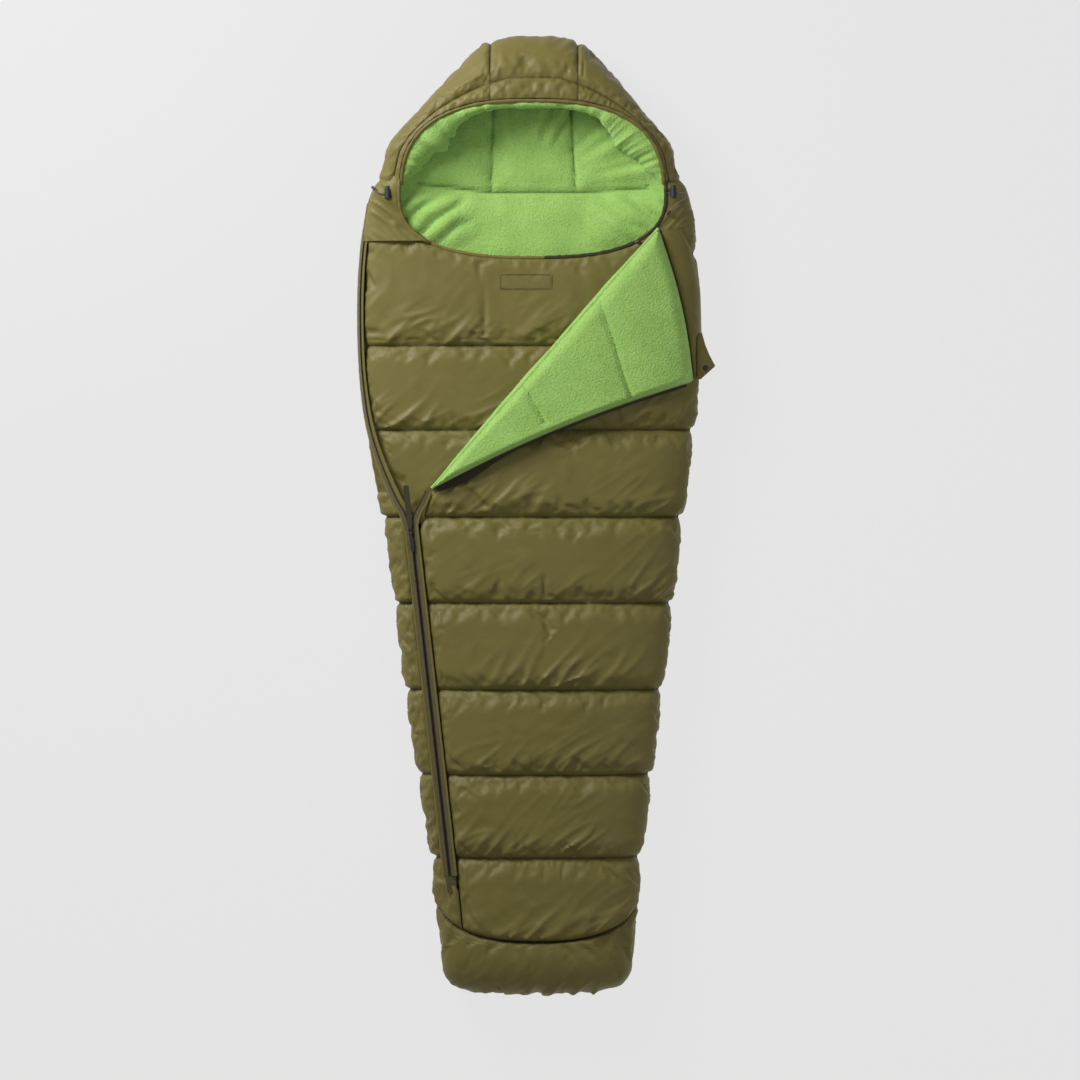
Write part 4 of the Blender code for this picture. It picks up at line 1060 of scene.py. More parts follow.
def back_wall():
    """The padded back, under the sleeper and up to the side seams."""
    step = sizes().grid * 1.35
    near = END_LENGTH * (1 - np.cos(np.linspace(0, math.pi / 2, 9)))
    seam_ys = CROSS_SEAMS + (BACK_SEAM_Y,)
    body = stations(FOOT_Y + END_LENGTH, HEAD_Y - END_LENGTH, seam_ys, step)
    places = np.concatenate((FOOT_Y + near[:-1], body, HEAD_Y - near[::-1][1:]))
    turned = np.linspace(LOWER_FLAT, 1, 15)[1:]
    shares = np.concatenate((-turned[::-1], np.linspace(-LOWER_FLAT, LOWER_FLAT, 46), turned))
    ss, ys = np.meshgrid(shares, places)
    seams = [row + len(END_SHARES) for row in rows_of(places, seam_ys)]

    def surface(depth):
        closed = with_end_face(lower(ss, ys, depth), SEAM_Z - SEAM_GAP / 2)
        return with_end_face(closed[::-1], SEAM_Z - SEAM_GAP / 2)[::-1]

    return Wall("back_quilt", surface, seams, [], ["back_shell", "back_fill"],
                loft=BACK_LOFT - LINING - 0.0026, depth=0.75, half=0.09, folding=0.6)


def inner_points(xs, ys, depth):
    """Points of the inner front panel at a depth."""
    middle, half = outline(ys)
    reach = half - np.where(xs < middle, 0.012, FRONT_LOFT + 0.003)
    across = np.clip((xs - middle) / reach, -0.9999, 0.9999)
    rise = rise_at(across)
    x = middle + (reach - depth) * across
    return np.stack((x, ys, SEAM_Z + SEAM_GAP / 2 + (INNER_RISE - depth) * rise), -1)


def inner_rows():
    """Places along the inner panel: x and y of its grid."""
    step = sizes().grid
    low, join = -0.030, 0.400
    count = int(0.66 / step)
    places = np.concatenate((stations(low, join, CROSS_SEAMS, step), np.linspace(join, NECK_TOP_Y, 26)[1:]))
    xs, ys = [], []
    for place in places:
        y = np.full(count, place)
        x = np.zeros(count)
        for _ in range(12):
            left = left_path_x(y) + 0.0035
            middle, half = outline(y)
            right = middle + half - FRONT_LOFT - 0.006
            ease = (1 - np.cos(np.linspace(0, math.pi, count))) / 2
            mixed = 0.45 * ease + 0.55 * np.linspace(0, 1, count)
            x = right + (left - right) * mixed
            top = np.minimum(neck_y(x), NECK_TOP_Y)
            if place > join:
                y = join + (top - join) * (place - join) / (NECK_TOP_Y - join)
        xs.append(x)
        ys.append(y)
    return np.array(xs), np.array(ys), places


def inner_wall():
    """The inner front panel with the neck edge."""
    xs, ys, places = inner_rows()
    return Wall("inner_quilt", lambda d: inner_points(xs, ys, d),
                rows_of(places, INNER_SEAMS), [], ["inner_panel_shell", "inner_panel_fill"],
                loft=INNER_LOFT, depth=0.66)


def hood_edge(share):
    """The opening's edge in plan, the way out from it, and how wide the hood is there."""
    angle = math.radians(3) + (math.pi - math.radians(6)) * share
    cosine, sine = math.cos(angle), math.sin(angle)
    across = math.copysign(abs(cosine) ** (2 / FACE_POWER), cosine)
    up = abs(sine) ** (2 / FACE_POWER)
    edge = np.array((FACE_X + FACE_HALF_WIDTH * across, FACE_Y + FACE_UP * up, 0.0))
    outward = np.array((edge[0] - FACE_X, (edge[1] - FACE_Y) * 1.15, 0.0))
    outward /= np.linalg.norm(outward)
    low, high = 0.0, 0.5
    for _ in range(30):
        mid = (low + high) / 2
        point = edge + outward * mid
        middle, half = outline(max(point[1], HOOD_BASE_Y))
        inside = point[1] <= HEAD_Y and abs(point[0] - middle) < half
        low, high = (mid, high) if inside else (low, mid)
    return edge, outward, low


def hood_height(share):
    """Height of the hood's edge, highest over the forehead."""
    return HOOD_NECK_Z + (HOOD_BRIM_Z - HOOD_NECK_Z) * np.sin(np.asarray(share) * math.pi) ** 0.7


def hood_table():
    """The hood's edge, way out, width and height for many shares of the way round."""
    shares = np.linspace(0, 1, 500)
    rows = []
    for share in shares:
        edge, outward, width = hood_edge(float(share))
        rows.append((*edge[:2], *outward[:2], width, float(hood_height(share))))
    return shares, np.array(rows)


HOOD_SHARES, HOOD_ROWS = hood_table()


def hood_points(shares, climbs, depth):
    """Points of the hood wall. Climb runs from 0 at the side seam to 1 at the opening."""
    x, y, out_x, out_y, width, top = (np.interp(shares, HOOD_SHARES, HOOD_ROWS[:, k]) for k in range(6))
    scale = np.minimum(1.0, 0.55 * width / HOOD_LOFT)
    across = np.cos(math.pi / 2 * climbs ** 1.2)
    rise = np.maximum(0, 1 - across ** 2.4) ** (1 / 2.4)
    reach = (width - depth * scale) * across
    z = SEAM_Z + SEAM_GAP / 2 + (top - SEAM_Z - depth * scale) * rise
    points = np.stack((x + out_x * reach, y + out_y * reach, z), -1)
    return domed(points, np.clip(reach / np.maximum(width, 1e-6), 0, 1))


def upright_share(x, climbs):
    """The share of the way round at which the hood crosses a place x, for each climb."""
    shares = np.linspace(0.25, 0.75, 200)
    return np.array([np.interp(-x, -hood_points(shares, np.full(200, c), 0.0)[:, 0], shares) for c in climbs])


def hood_walls():
    """The hood's three panels, which meet on upright seams."""
    step = sizes().grid
    fine = np.linspace(0.004, 1, 160)
    sample = hood_points(np.full(160, 0.5), fine, 0.0)
    climbs = 0.004 + 0.996 * even(sample, HOOD_CLIMBS)
    gap = 0.0003
    right = np.minimum(upright_share(HOOD_SEAM_X[1], climbs), 0.497)
    left = np.maximum(upright_share(HOOD_SEAM_X[0], climbs), 0.503)
    panels = (("hood_right_quilt", np.zeros(HOOD_CLIMBS), right - gap, ["hood_right_shell"]),
              ("hood_centre_quilt", right + gap, left - gap, ["hood_centre_shell", "hood_fill"]),
              ("hood_left_quilt", left + gap, np.ones(HOOD_CLIMBS), ["hood_left_shell"]))
    walls = []
    kept = sample[np.round(even(sample, HOOD_CLIMBS) * 159).astype(int)]
    hem = int(np.argmin(np.abs(np.linalg.norm(kept - kept[-1], axis=1) - HEM_WIDTH)))
    for name, low, high, nodes in panels:
        middle = hood_points(np.linspace(low[8], high[8], 200), np.full(200, climbs[8]), 0.0)
        length = np.sum(np.linalg.norm(np.diff(middle, axis=0), axis=1))
        share = even(middle, max(8, int(length / step)))[:, None]
        shares = low * (1 - share) + high * share
        grid = np.broadcast_to(climbs, shares.shape)
        walls.append(Wall(name, lambda d, s=shares, c=grid: hood_points(s, c, d), [], [hem], nodes,
                          loft=HOOD_LOFT - LINING - 0.0008, depth=0.55, half=0.055, rim=0.5, folding=0.55))
    return walls


def cloth_sheet(wall, cloth):
    """A wall's skin as a sheet of cloth, pinned where it is sewn."""
    rows, columns = wall.skin.shape[:2]
    faces = grid_faces(rows, columns)
    if np.sum(normals_of(wall.skin) * wall.facing) < 0:
        faces = faces[:, ::-1]
    mesh = bpy.data.meshes.new(wall.name + "_cloth")
    mesh.from_pydata(wall.skin.reshape(-1, 3).tolist(), [], faces.tolist())
    mesh.update()
    middle = len(faces) // 2
    if Vector(mesh.polygons[middle].normal).dot(Vector(wall.facing.reshape(-1, 3)[faces[middle][0]])) < 0:
        mesh.flip_normals()
    sheet = bpy.data.objects.new(wall.name + "_cloth", mesh)
    bpy.context.scene.collection.objects.link(sheet)
    pins = sheet.vertex_groups.new(name="sewn")
    pins.add(np.flatnonzero(wall.pinned().reshape(-1)).tolist(), 1.0, "REPLACE")
    modifier = sheet.modifiers.new("inflate", "CLOTH")
    s = modifier.settings
    s.quality = 5
    s.mass = 0.25
    s.tension_stiffness = s.compression_stiffness = 18
    s.shear_stiffness = 4
    s.bending_stiffness = cloth.bending
    s.air_damping = 4
    s.tension_damping = s.compression_damping = s.shear_damping = 8
    s.vertex_group_mass = "sewn"
    s.shrink_min = -cloth.growth
    s.use_pressure = True
    s.uniform_pressure_force = cloth.pressure
    s.effector_weights.gravity = 0.0
    modifier.collision_settings.use_collision = False
    modifier.point_cache.frame_start, modifier.point_cache.frame_end = 1, cloth.frames
    return sheet


def swollen(wall, sheet, graph):
    """A wall's skin once the cloth has moved, with each point's travel held to what the wall allows."""
    done = sheet.evaluated_get(graph).to_mesh()
    points = np.empty(len(done.vertices) * 3)
    done.vertices.foreach_get("co", points)
    moved = points.reshape(wall.skin.shape) - wall.skin
    out = np.sum(moved * wall.facing, -1, keepdims=True)
    sideways = moved - wall.facing * out
    top = sizes().swell
    room = np.sum((wall.base - wall.skin) * wall.facing, -1, keepdims=True) + 0.003
    out = np.where(out > 0, room * np.tanh(out / room), -top * np.tanh(-out / top))
    reach = np.linalg.norm(sideways, axis=-1, keepdims=True)
    sideways *= top * np.tanh(reach / top) / np.maximum(reach, 1e-9)
    hold = np.clip(np.minimum(wall.distance, wall.edge) / 0.03, 0, 1)[..., None] ** 0.6
    return wall.skin + (wall.facing * out + sideways) * hold


def inflate(walls):
    """Puff the skins up against their seams as cloth, all in the same frames."""
    cloth = cloth_settings()
    sheets = [cloth_sheet(wall, cloth) for wall in walls]
    scene = bpy.context.scene
    for step in range(1, cloth.frames + 1):
        scene.frame_set(step)
    graph = bpy.context.evaluated_depsgraph_get()
    for wall, sheet in zip(walls, sheets):
        wall.skin = swollen(wall, sheet, graph)
    scene.frame_set(1)
    for sheet in sheets:
        mesh = sheet.data
        bpy.data.objects.remove(sheet, do_unlink=True)
        bpy.data.meshes.remove(mesh)


WALLS = {}


class BAG_OT_quilted_walls(bpy.types.Operator):
    """Sew and inflate the quilted walls of the shell"""

    bl_idname = "bag.quilted_walls"
    bl_label = "Quilted Walls"

    def execute(self, context):
        walls = [front_wall(), side_wall(), foot_wall(), back_wall(), inner_wall()] + hood_walls()
        inflate(walls)
        for wall in walls:
            WALLS[wall.name] = wall
            outer = wall.folds(finer(wall.skin), finer(wall.facing), finer(np.minimum(
                wall.distance, wall.edge)[..., None])[..., 0], finer(wall.height[..., None])[..., 0])
            outer[..., 2] = np.maximum(outer[..., 2], FLOOR_CLEARANCE)
            inner = finer(wall.surface(wall.loft - 0.0045) if wall.loft > 0.03 else wall.inner)
            mesh = solid_mesh(wall.name, outer, inner)
            distance = np.minimum(wall.distance, wall.edge)
            # The seam mask darkens the shell at its seams and edges: thread colour and painted shade
            seam_layer(mesh, finer(distance[..., None])[..., 0])
            piece = add_piece(wall.name, mesh, shell_material(), "root", "shell", *wall.nodes)
        return {"FINISHED"}


# ---- Linings ---------------------------------------------------------------------------------
def pleats(points):
    """Height of the soft pleats that fan out round the head."""
    x, y = points[..., 0] - FACE_X, points[..., 1] - 0.735
    angle = np.arctan2(y, x)
    radius = np.hypot(x, y * 1.25)
    fan = np.zeros_like(x)
    for count, phase, weight in ((17, 0.4, 1.0), (29, 1.9, 0.6), (43, 0.8, 0.35)):
        fan += weight * np.abs(np.sin(angle * count / 2 + phase + 0.8 * np.sin(angle * 5 + phase)))
    reach = np.clip((radius - 0.11) / 0.10, 0, 1)
    return fan * reach


def line_valley(points, start, end, width):
    """1 on a straight seam between two places in plan, fading out over a width."""
    start, end = np.array(start), np.array(end)
    along = end - start
    t = np.clip(((points[..., :2] - start) @ along) / (along @ along), 0, 1)
    near = start + t[..., None] * along
    distance = np.linalg.norm(points[..., :2] - near, axis=-1)
    return np.exp(-(distance / width) ** 2)


HOOD_SEAMS = (((-0.104, 0.735), (-0.098, 0.925)), ((0.086, 0.735), (0.076, 0.925)),
              ((-0.267, 0.745), (-0.104, 0.727)), ((-0.104, 0.727), (0.090, 0.727)),
              ((0.090, 0.727), (0.250, 0.736)))


def hood_floor():
    """The lining inside the hood and neck, dished up to the hood's sides."""
    ys = stations(0.45, HEAD_Y - 0.055, (HOOD_LINING_Y,), 0.0065)
    shares = np.linspace(-0.985, 0.985, 118)
    ss, yy = np.meshgrid(shares, ys)
    points = lower(ss, yy, BACK_LOFT)
    lift = np.zeros(points.shape[:2])
    head = np.clip((points[..., 1] - 0.715) / 0.06, 0, 1)
    lift += 0.0105 * pleats(points) * head
    out = np.hypot((points[..., 0] - FACE_X) / 0.27, (points[..., 1] - 0.735) / 0.20)
    rim = np.clip((out - 0.55) / 0.6, 0, 1)
    lift += 0.024 * rim ** 1.5 * np.clip((points[..., 1] - 0.60) / 0.08, 0, 1)
    below = np.clip((0.725 - points[..., 1]) / 0.012, 0, 1)
    side = np.abs(points[..., 0] - FACE_X)
    slope = side * 0.62 - (0.725 - points[..., 1]) * 0.78
    slope = slope + 0.010 * noise_field(points, (0.05, 0.05, 0.05), 71)
    fan = np.abs(np.sin(slope * math.pi / 0.042)) ** 0.8
    fade = np.clip((side - 0.115) / 0.07, 0, 1) * np.exp(-((points[..., 1] - 0.672) / 0.060) ** 4)
    lift += 0.014 * fan * below * fade
    lift += 0.004 * noise_field(points, (0.07, 0.07, 0.07), 4)
    # near marks the lining's seam valleys, where the fleece material paints shade
    valley, puffed, near = np.zeros_like(lift), np.zeros_like(lift), np.zeros_like(lift)
    for start, end in HOOD_SEAMS:
        valley = np.maximum(valley, line_valley(points, start, end, 0.005))
        puffed = np.maximum(puffed, line_valley(points, start, end, 0.035))
        near = np.maximum(near, line_valley(points, start, end, 0.008))
    lift += 0.009 * (1 - puffed) - 0.006 * valley + 0.005
    points[..., 2] += lift * np.clip((0.322 - side) / 0.022, 0, 1)
    return points, ys, near


class BAG_OT_linings(bpy.types.Operator):
    """Lay the green fleece inside the walls"""

    bl_idname = "bag.linings"
    bl_label = "Fleece Linings"

    def execute(self, context):
        material = fleece_material()
        for wall_name, node in (("front_quilt", "front_lining"), ("side_quilt", "side_lining"),
                                ("foot_quilt", "foot_lining"), ("inner_quilt", "inner_panel_lining")):
            wall = WALLS[wall_name]
            grid = wall.surface(wall.loft)
            away = wall.surface(wall.loft - LINING)
            add_piece(node.replace("_lining", "_fleece"), solid_mesh(node, grid, away), material, "root",
                      "fleece", node)
        grid = self.hood_lining()
        mesh = solid_mesh("hood_fleece", grid, grid + normals_of(grid) * LINING)
        add_piece("hood_fleece", mesh, material, "root", "fleece", "hood_lining")
        self.floor_linings(material)
        return {"FINISHED"}

    def hood_lining(self):
        """The inside of the hood, with a soft lip that turns in round the opening."""
        around = np.linspace(0.0, 1.0, 260)
        climbs = np.linspace(0.02, 1.0, 22)
        shares, climb = np.meshgrid(around, climbs, indexing="ij")
        inside = hood_points(shares, climb, HOOD_LOFT)
        t = np.linspace(0, 1, 22)[None, :]
        corner = np.exp(-((around - 0.20) / 0.11) ** 2) + np.exp(-((around - 0.80) / 0.11) ** 2)
        ends = np.exp(-(around / 0.10) ** 2) + np.exp(-((1 - around) / 0.10) ** 2)
        reach = (0.017 + 0.050 * corner + 0.020 * ends)[:, None]
        fall = (0.014 + 0.034 * corner + 0.040 * ends)[:, None]
        wave = np.array([noise.noise(Vector((a * 34, 2.5, 0))) + 0.6 * noise.noise(Vector((a * 71, 7.5, 0)))
                         for a in around])[:, None]
        taper = np.clip(np.minimum(around, 1 - around) / 0.05, 0.05, 1)[:, None]
        reach = reach * (1 + 0.16 * wave * t) * taper
        rows = [np.interp(around, HOOD_SHARES, HOOD_ROWS[:, k])[:, None] for k in range(6)]
        inward = 0.004 + reach * np.sin(t * math.pi / 2) ** 1.1
        x, y = rows[0] - rows[2] * inward, rows[1] - rows[3] * inward
        bulge = 0.004 * np.sin(t * math.pi) * (1 + 1.3 * wave)
        z = rows[5] - 0.009 - fall * (1 - np.cos(t * math.pi / 2)) ** 1.1 + bulge
        return np.concatenate((inside, np.stack((x, y, z), -1)), 1)

    def floor_linings(self, material):
        """The lining under the sleeper, with a cross seam at the neck."""
        points, ys, near = hood_floor()
        split = int(np.argmin(np.abs(ys - HOOD_LINING_Y)))
        low_ys = np.linspace(FOOT_Y + 0.06, 0.45, 60)
        ss, yy = np.meshgrid(np.linspace(-0.985, 0.985, 118), low_ys)
        plain = lower(ss, yy, BACK_LOFT)
        plain[..., 2] += 0.0035 * np.clip((yy + 0.9) / 0.3, 0, 1) * (0.6 + 0.4 * np.sin(yy * 30)) ** 2
        plain[-1, :, 2] = points[0, :, 2]
        body = np.concatenate((plain[:-1], points[:split + 1]))
        plain_near = np.concatenate((np.zeros(plain.shape[:2])[:-1], near[:split + 1]))
        for name, grid, seams in (("back", body, plain_near), ("hood_back", points[split:], near[split:])):
            mesh = solid_mesh(name + "_fleece", grid, grid - np.array((0, 0, LINING)))
            # The seam mask paints shade into the fleece's seam valleys
            seam_layer(mesh, SEAM_REACH * (1 - seams))
            add_piece(name + "_fleece", mesh, material, "root", "fleece", name + "_lining")


# ---- Hems and bindings -----------------------------------------------------------------------
def wrinkled_tube(path, radius, wave, seed, sides=12):
    """A soft rolled edge with small cross wrinkles."""
    fine = resample(path, 0.004)
    bumps = noise_field(fine, (0.010, 0.010, 0.010), seed)
    slow = noise_field(fine, (0.05, 0.05, 0.05), seed + 3)
    return tube(fine, radius * (1 + wave * bumps + 0.5 * wave * slow), sides)


class BAG_OT_edge_bindings(bpy.types.Operator):
    """Roll the hood's hem and bind the neck edge"""

    bl_idname = "bag.edge_bindings"
    bl_label = "Hem and Binding"

    def execute(self, context):
        path = []
        for share in np.linspace(0.0, 1.0, 120):
            edge, outward, _ = hood_edge(float(share))
            path.append(edge - outward * 0.0045 + np.array((0, 0, float(hood_height(share)) - 0.0075)))
        hem = joined("hood_hem_roll", [wrinkled_tube(path, 0.0050, 0.30, 2)])
        add_piece("hood_hem_roll", hem, shell_material(), "root", "binding", "hood_hem")
        rights = self.neck_corner("neck_corner_right", 1)
        lefts = self.neck_corner("neck_corner_left", -1)
        wall = WALLS["inner_quilt"]
        edge = wall.skin[-1]
        away = np.stack((FACE_X - edge[:, 0], (FACE_Y - edge[:, 1]) * 3.0, np.zeros(len(edge))), -1)
        away /= np.linalg.norm(away, axis=1, keepdims=True)
        line = edge + away * 0.002 - np.array((0, 0, 0.0015))
        line = line[np.argsort(line[:, 0])]
        line = line[(line[:, 0] > lefts[-1, 0] + 0.004) & (line[:, 0] < rights[-1, 0] - 0.004)]
        middle = 0.028
        left = np.concatenate((lefts, line[line[:, 0] < middle]))
        right = np.concatenate((line[line[:, 0] > middle - 0.018], rights[::-1]))
        right = joined("neck_edge_right", [wrinkled_tube(right, 0.0046, 0.20, 6)])
        add_piece("neck_edge_right", right, binding_material(), "root", "binding", "neck_binding")
        left = joined("neck_edge_left", [wrinkled_tube(left, 0.0040, 0.20, 6)])
        add_piece("neck_edge_left", left, shell_material(), "root", "binding")
        return {"FINISHED"}

    def neck_corner(self, name, side):
        """The shell between the end of the hood and the neck edge. Returns its open edge."""
        ys = np.linspace(NECK_CORNER_TOP, NECK_CORNER_BOTTOM, 34)
        drop = np.where(ys > FACE_Y, FACE_UP, FACE_DOWN)
        open_x = FACE_X + side * (FACE_HALF_WIDTH + 0.002) * rise_at(np.abs(ys - FACE_Y) / drop, FACE_POWER)
        middle, half = outline(ys)
        level = np.clip((ys - 0.640) / 0.110, 0, 1)
        level = level * level * (3 - 2 * level)
        low = 0.0425 if side < 0 else TOP_Z - SEAM_Z
        height = low + (0.072 - low) * level
        reach = half - (0.006 if side < 0 else 0.002)
        start = np.clip((open_x - middle) / reach * side, 0, 0.999)
        share = np.linspace(0, 1, 22)[None]
        across = start[:, None] + (NEAR_EDGE - start[:, None]) * share
        x = middle[:, None] + side * reach[:, None] * across
        z = SEAM_Z + SEAM_GAP / 2 + height[:, None] * rise_at(across)
        points = np.stack((x, np.repeat(ys[:, None], 22, 1), z), -1)
        edge = np.minimum(share * 0.12, 0.12)
        puffed = 0.004 * np.sqrt(np.clip(edge / 0.03, 0, 1)) + 0.0035 * crest(
            points @ turned_by(side * 0.7), (0.08, 0.020, 0.4), 51, 0.22)
        outer = points + np.array((0, 0, 1)) * puffed[..., None]
        mesh = solid_mesh(name, finer(outer), finer(points - np.array((0, 0, 0.012))))
        piece = add_piece(name, mesh, shell_material(), "root", "shell")
        return outer[:, 0] + np.array((-side * 0.002, 0, -0.001))


# ---- Folded corner -----------------------------------------------------------------------------
def flap_outward(start, end):
    """The direction in plan that points off an edge, to its right."""
    along = (end - start) / np.linalg.norm(end - start)
    return np.array((along[1], -along[0], 0.0))


def flap_sag(share):
    """How far the zip edge bows out from a straight line."""
    return -0.016 * np.sin(share * math.pi)


FLAP_SEAMS = (((0.141, 0.469), (0.168, 0.393)), ((0.168, 0.393), (0.193, 0.310)),
              ((0.193, 0.310), (0.211, 0.262)), ((-0.029, 0.283), (-0.007, 0.249)),
              ((-0.007, 0.249), (0.018, 0.205)))


def flap_plan(steps, shares):
    """Places in plan of the folded corner, from the fold to its corner."""
    off = flap_outward(FOLD_LOW, FOLD_HIGH) * FLAP_GAP
    low, high = FOLD_LOW + off, FOLD_HIGH + off
    outward = flap_outward(FOLD_LOW, FLAP_CORNER)
    s, t = np.meshgrid(steps, shares, indexing="ij")
    s, t = s[..., None], t[..., None]
    start = low * (1 - s) + FLAP_CORNER * s + outward * flap_sag(s)
    end = high * (1 - s) + FLAP_CORNER * s + np.array((1.0, 0, 0)) * 0.012 * np.sin(s * math.pi)
    return start * (1 - t) + end * t


def flap_edges(steps, shares):
    """How near each point of the folded corner is to an edge, in metres."""
    plan = flap_plan(steps, shares)
    low = plan[:, :1]
    high = plan[:, -1:]
    first = plan[:1]
    return (np.linalg.norm(plan - low, axis=-1), np.linalg.norm(plan - high, axis=-1),
            np.linalg.norm(plan - first, axis=-1))


class BAG_OT_folded_corner(bpy.types.Operator):
    """Build the folded-over corner of the front, fleece side up"""

    bl_idname = "bag.folded_corner"
    bl_label = "Folded Corner"

    def execute(self, context):
        steps = np.concatenate((np.linspace(0.0, 0.9, 66), np.linspace(0.9, 0.988, 10)[1:]))
        shares = np.linspace(0.0, 1.0, 110)
        plan = flap_plan(steps, shares)
        ground = upper_z(plan[..., 0], plan[..., 1]) + FLAP_GAP
        zip_side, right_side, fold_side = flap_edges(steps, shares)
        edge = np.minimum(np.minimum(zip_side, right_side), fold_side)
        full = np.clip(edge / 0.030, 0, 1)
        thin = np.clip(np.minimum(zip_side, right_side) / 0.034, 0, 1)
        turn = np.clip(fold_side / 0.030, 0, 1)
        crown = np.minimum(0.20 + 0.80 * np.sqrt(1 - (1 - thin) ** 2),
                           0.42 + 0.58 * np.sqrt(1 - (1 - turn) ** 2))
        width = zip_side + right_side
        crown *= np.clip(0.35 + width / 0.10, 0, 1)
        valley = np.zeros_like(edge)
        broad = np.zeros_like(edge)
        for start, end in FLAP_SEAMS:
            valley = np.maximum(valley, line_valley(plan, start, end, 0.0045))
            broad = np.maximum(broad, line_valley(plan, start, end, 0.030))
        soft = 0.5 * noise_field(plan, (0.08, 0.08, 0.08), 8)
        soft = soft + 0.5 * noise_field(plan @ TURN, (0.03, 0.12, 0.1), 9)
        top = plan.copy()
        lift = (FLAP_LOFT + 0.001) * crown - 0.006 * valley - 0.004 * broad + 0.003 * soft * full
        top[..., 2] = ground + lift
        seam = plan.copy()
        seam[..., 2] = ground + 0.42 * FLAP_LOFT * np.clip(0.35 + width / 0.10, 0, 1) * 0.9
        middle = np.minimum(seam[..., 2], top[..., 2] - LINING)
        inner = plan.copy()
        inner[..., 2] = middle
        fleece = solid_mesh("flap_fleece", top, inner)
        # The flap fleece's seam valleys get painted shade from this mask
        seam_layer(fleece, SEAM_REACH * (1 - valley))
        add_piece("flap_fleece", fleece, fleece_material(), "flap", "fleece", "flap_lining")
        channel = np.abs(np.sin((plan[..., 1] - 0.189) / 0.195 * math.pi))
        under = plan.copy()
        under[..., 2] = ground + 0.007 * (1 - np.sqrt(channel)) + 0.010 * (1 - full) ** 2
        shell_top = plan.copy()
        shell_top[..., 2] = middle - 0.0006
        under[..., 2] = np.minimum(under[..., 2], shell_top[..., 2] - 0.0015)
        mesh = solid_mesh("flap_quilt", under, shell_top)
        distance = np.minimum(np.abs((plan[..., 1] - 0.189 + 0.0975) % 0.195 - 0.0975), edge)
        # The seam mask darkens the flap's shell at its seams and edges: thread colour and painted shade
        seam_layer(mesh, distance)
        shell = add_piece("flap_quilt", mesh, shell_material(), "flap", "shell", "flap_shell", "flap_fill")
        self.fold_roll()
        self.neck_hem()
        return {"FINISHED"}

    def fold_roll(self):
        """The fleece's turn round the fold, from the front's lining up to the corner's top."""
        share = np.linspace(0.0, 1.0, 90)[:, None, None]
        line = FOLD_LOW * (1 - share) + FOLD_HIGH * share
        off = -flap_outward(FOLD_LOW, FOLD_HIGH)
        angle = np.linspace(-math.pi / 2, math.pi * 0.62, 26)[None, :, None]
        ends = np.sin(np.clip(share, 0.03, 0.97) * math.pi) ** 0.35
        wave = noise_field(line[:, 0], (0.06, 0.06, 0.06), 61)[:, None, None]
        middle = upper_z(line[..., 0], line[..., 1])[..., None] + FLAP_GAP / 2
        bulge = (0.0075 + 0.002 * wave) * ends * np.cos(angle)
        height = FLAP_LOFT * 0.46 * np.sin(angle) * np.where(angle < 0, 2.55, 1.0)
        outer = line + off * bulge
        outer[..., 2] = (middle + height)[..., 0]
        inner = outer - off * LINING
        roll = link("fold_fleece", solid_mesh("fold_fleece", outer, inner), fleece_material(), None)
        ends_of_fold = [tuple(p + np.array((0, 0, z))) for p, z in ((FOLD_LOW, 0.100), (FOLD_LOW, 0.150))]
        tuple(ends_of_fold[0])
        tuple(ends_of_fold[1])
        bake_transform(roll)

    def neck_hem(self):
        """The padded hem strip on the corner's right edge."""
        off = flap_outward(FOLD_LOW, FOLD_HIGH) * FLAP_GAP
        shares = np.linspace(0.0, 0.97, 96)[:, None]
        start = (FOLD_HIGH + off) * (1 - shares) + FLAP_CORNER * shares
        start = start + np.array((1.0, 0, 0)) * (0.012 * np.sin(shares * math.pi) + 0.0015)
        side = np.interp(start[:, 1], (0.304, 0.398, 0.408, 0.500, 0.595, 0.640),
                         (0.3590, 0.3590, 0.3715, 0.3680, 0.3460, 0.3250))
        width = np.maximum(side - start[:, 0], 0.004)
        across = np.linspace(0, 1, 14)
        plan = start[:, None] + np.array((1.0, 0, 0)) * (width[:, None] * across)[..., None]
        ground = upper_z(plan[..., 0], plan[..., 1]) + 0.004
        dome = np.sqrt(np.clip(1 - (2 * across - 1) ** 2, 0, 1))
        wrinkle = noise_field(plan @ TURN, (0.012, 0.05, 0.05), 14)
        low, high = plan.copy(), plan.copy()
        low[..., 2] = ground
        high[..., 2] = ground + 0.002 + 0.0085 * dome * (1 + 0.25 * wrinkle)
        strip = add_piece("neck_hem_strip", solid_mesh("neck_hem_strip", high, low), shell_material(), "flap",
                          "shell", "flap_neck_hem")
        self.closure_tab()

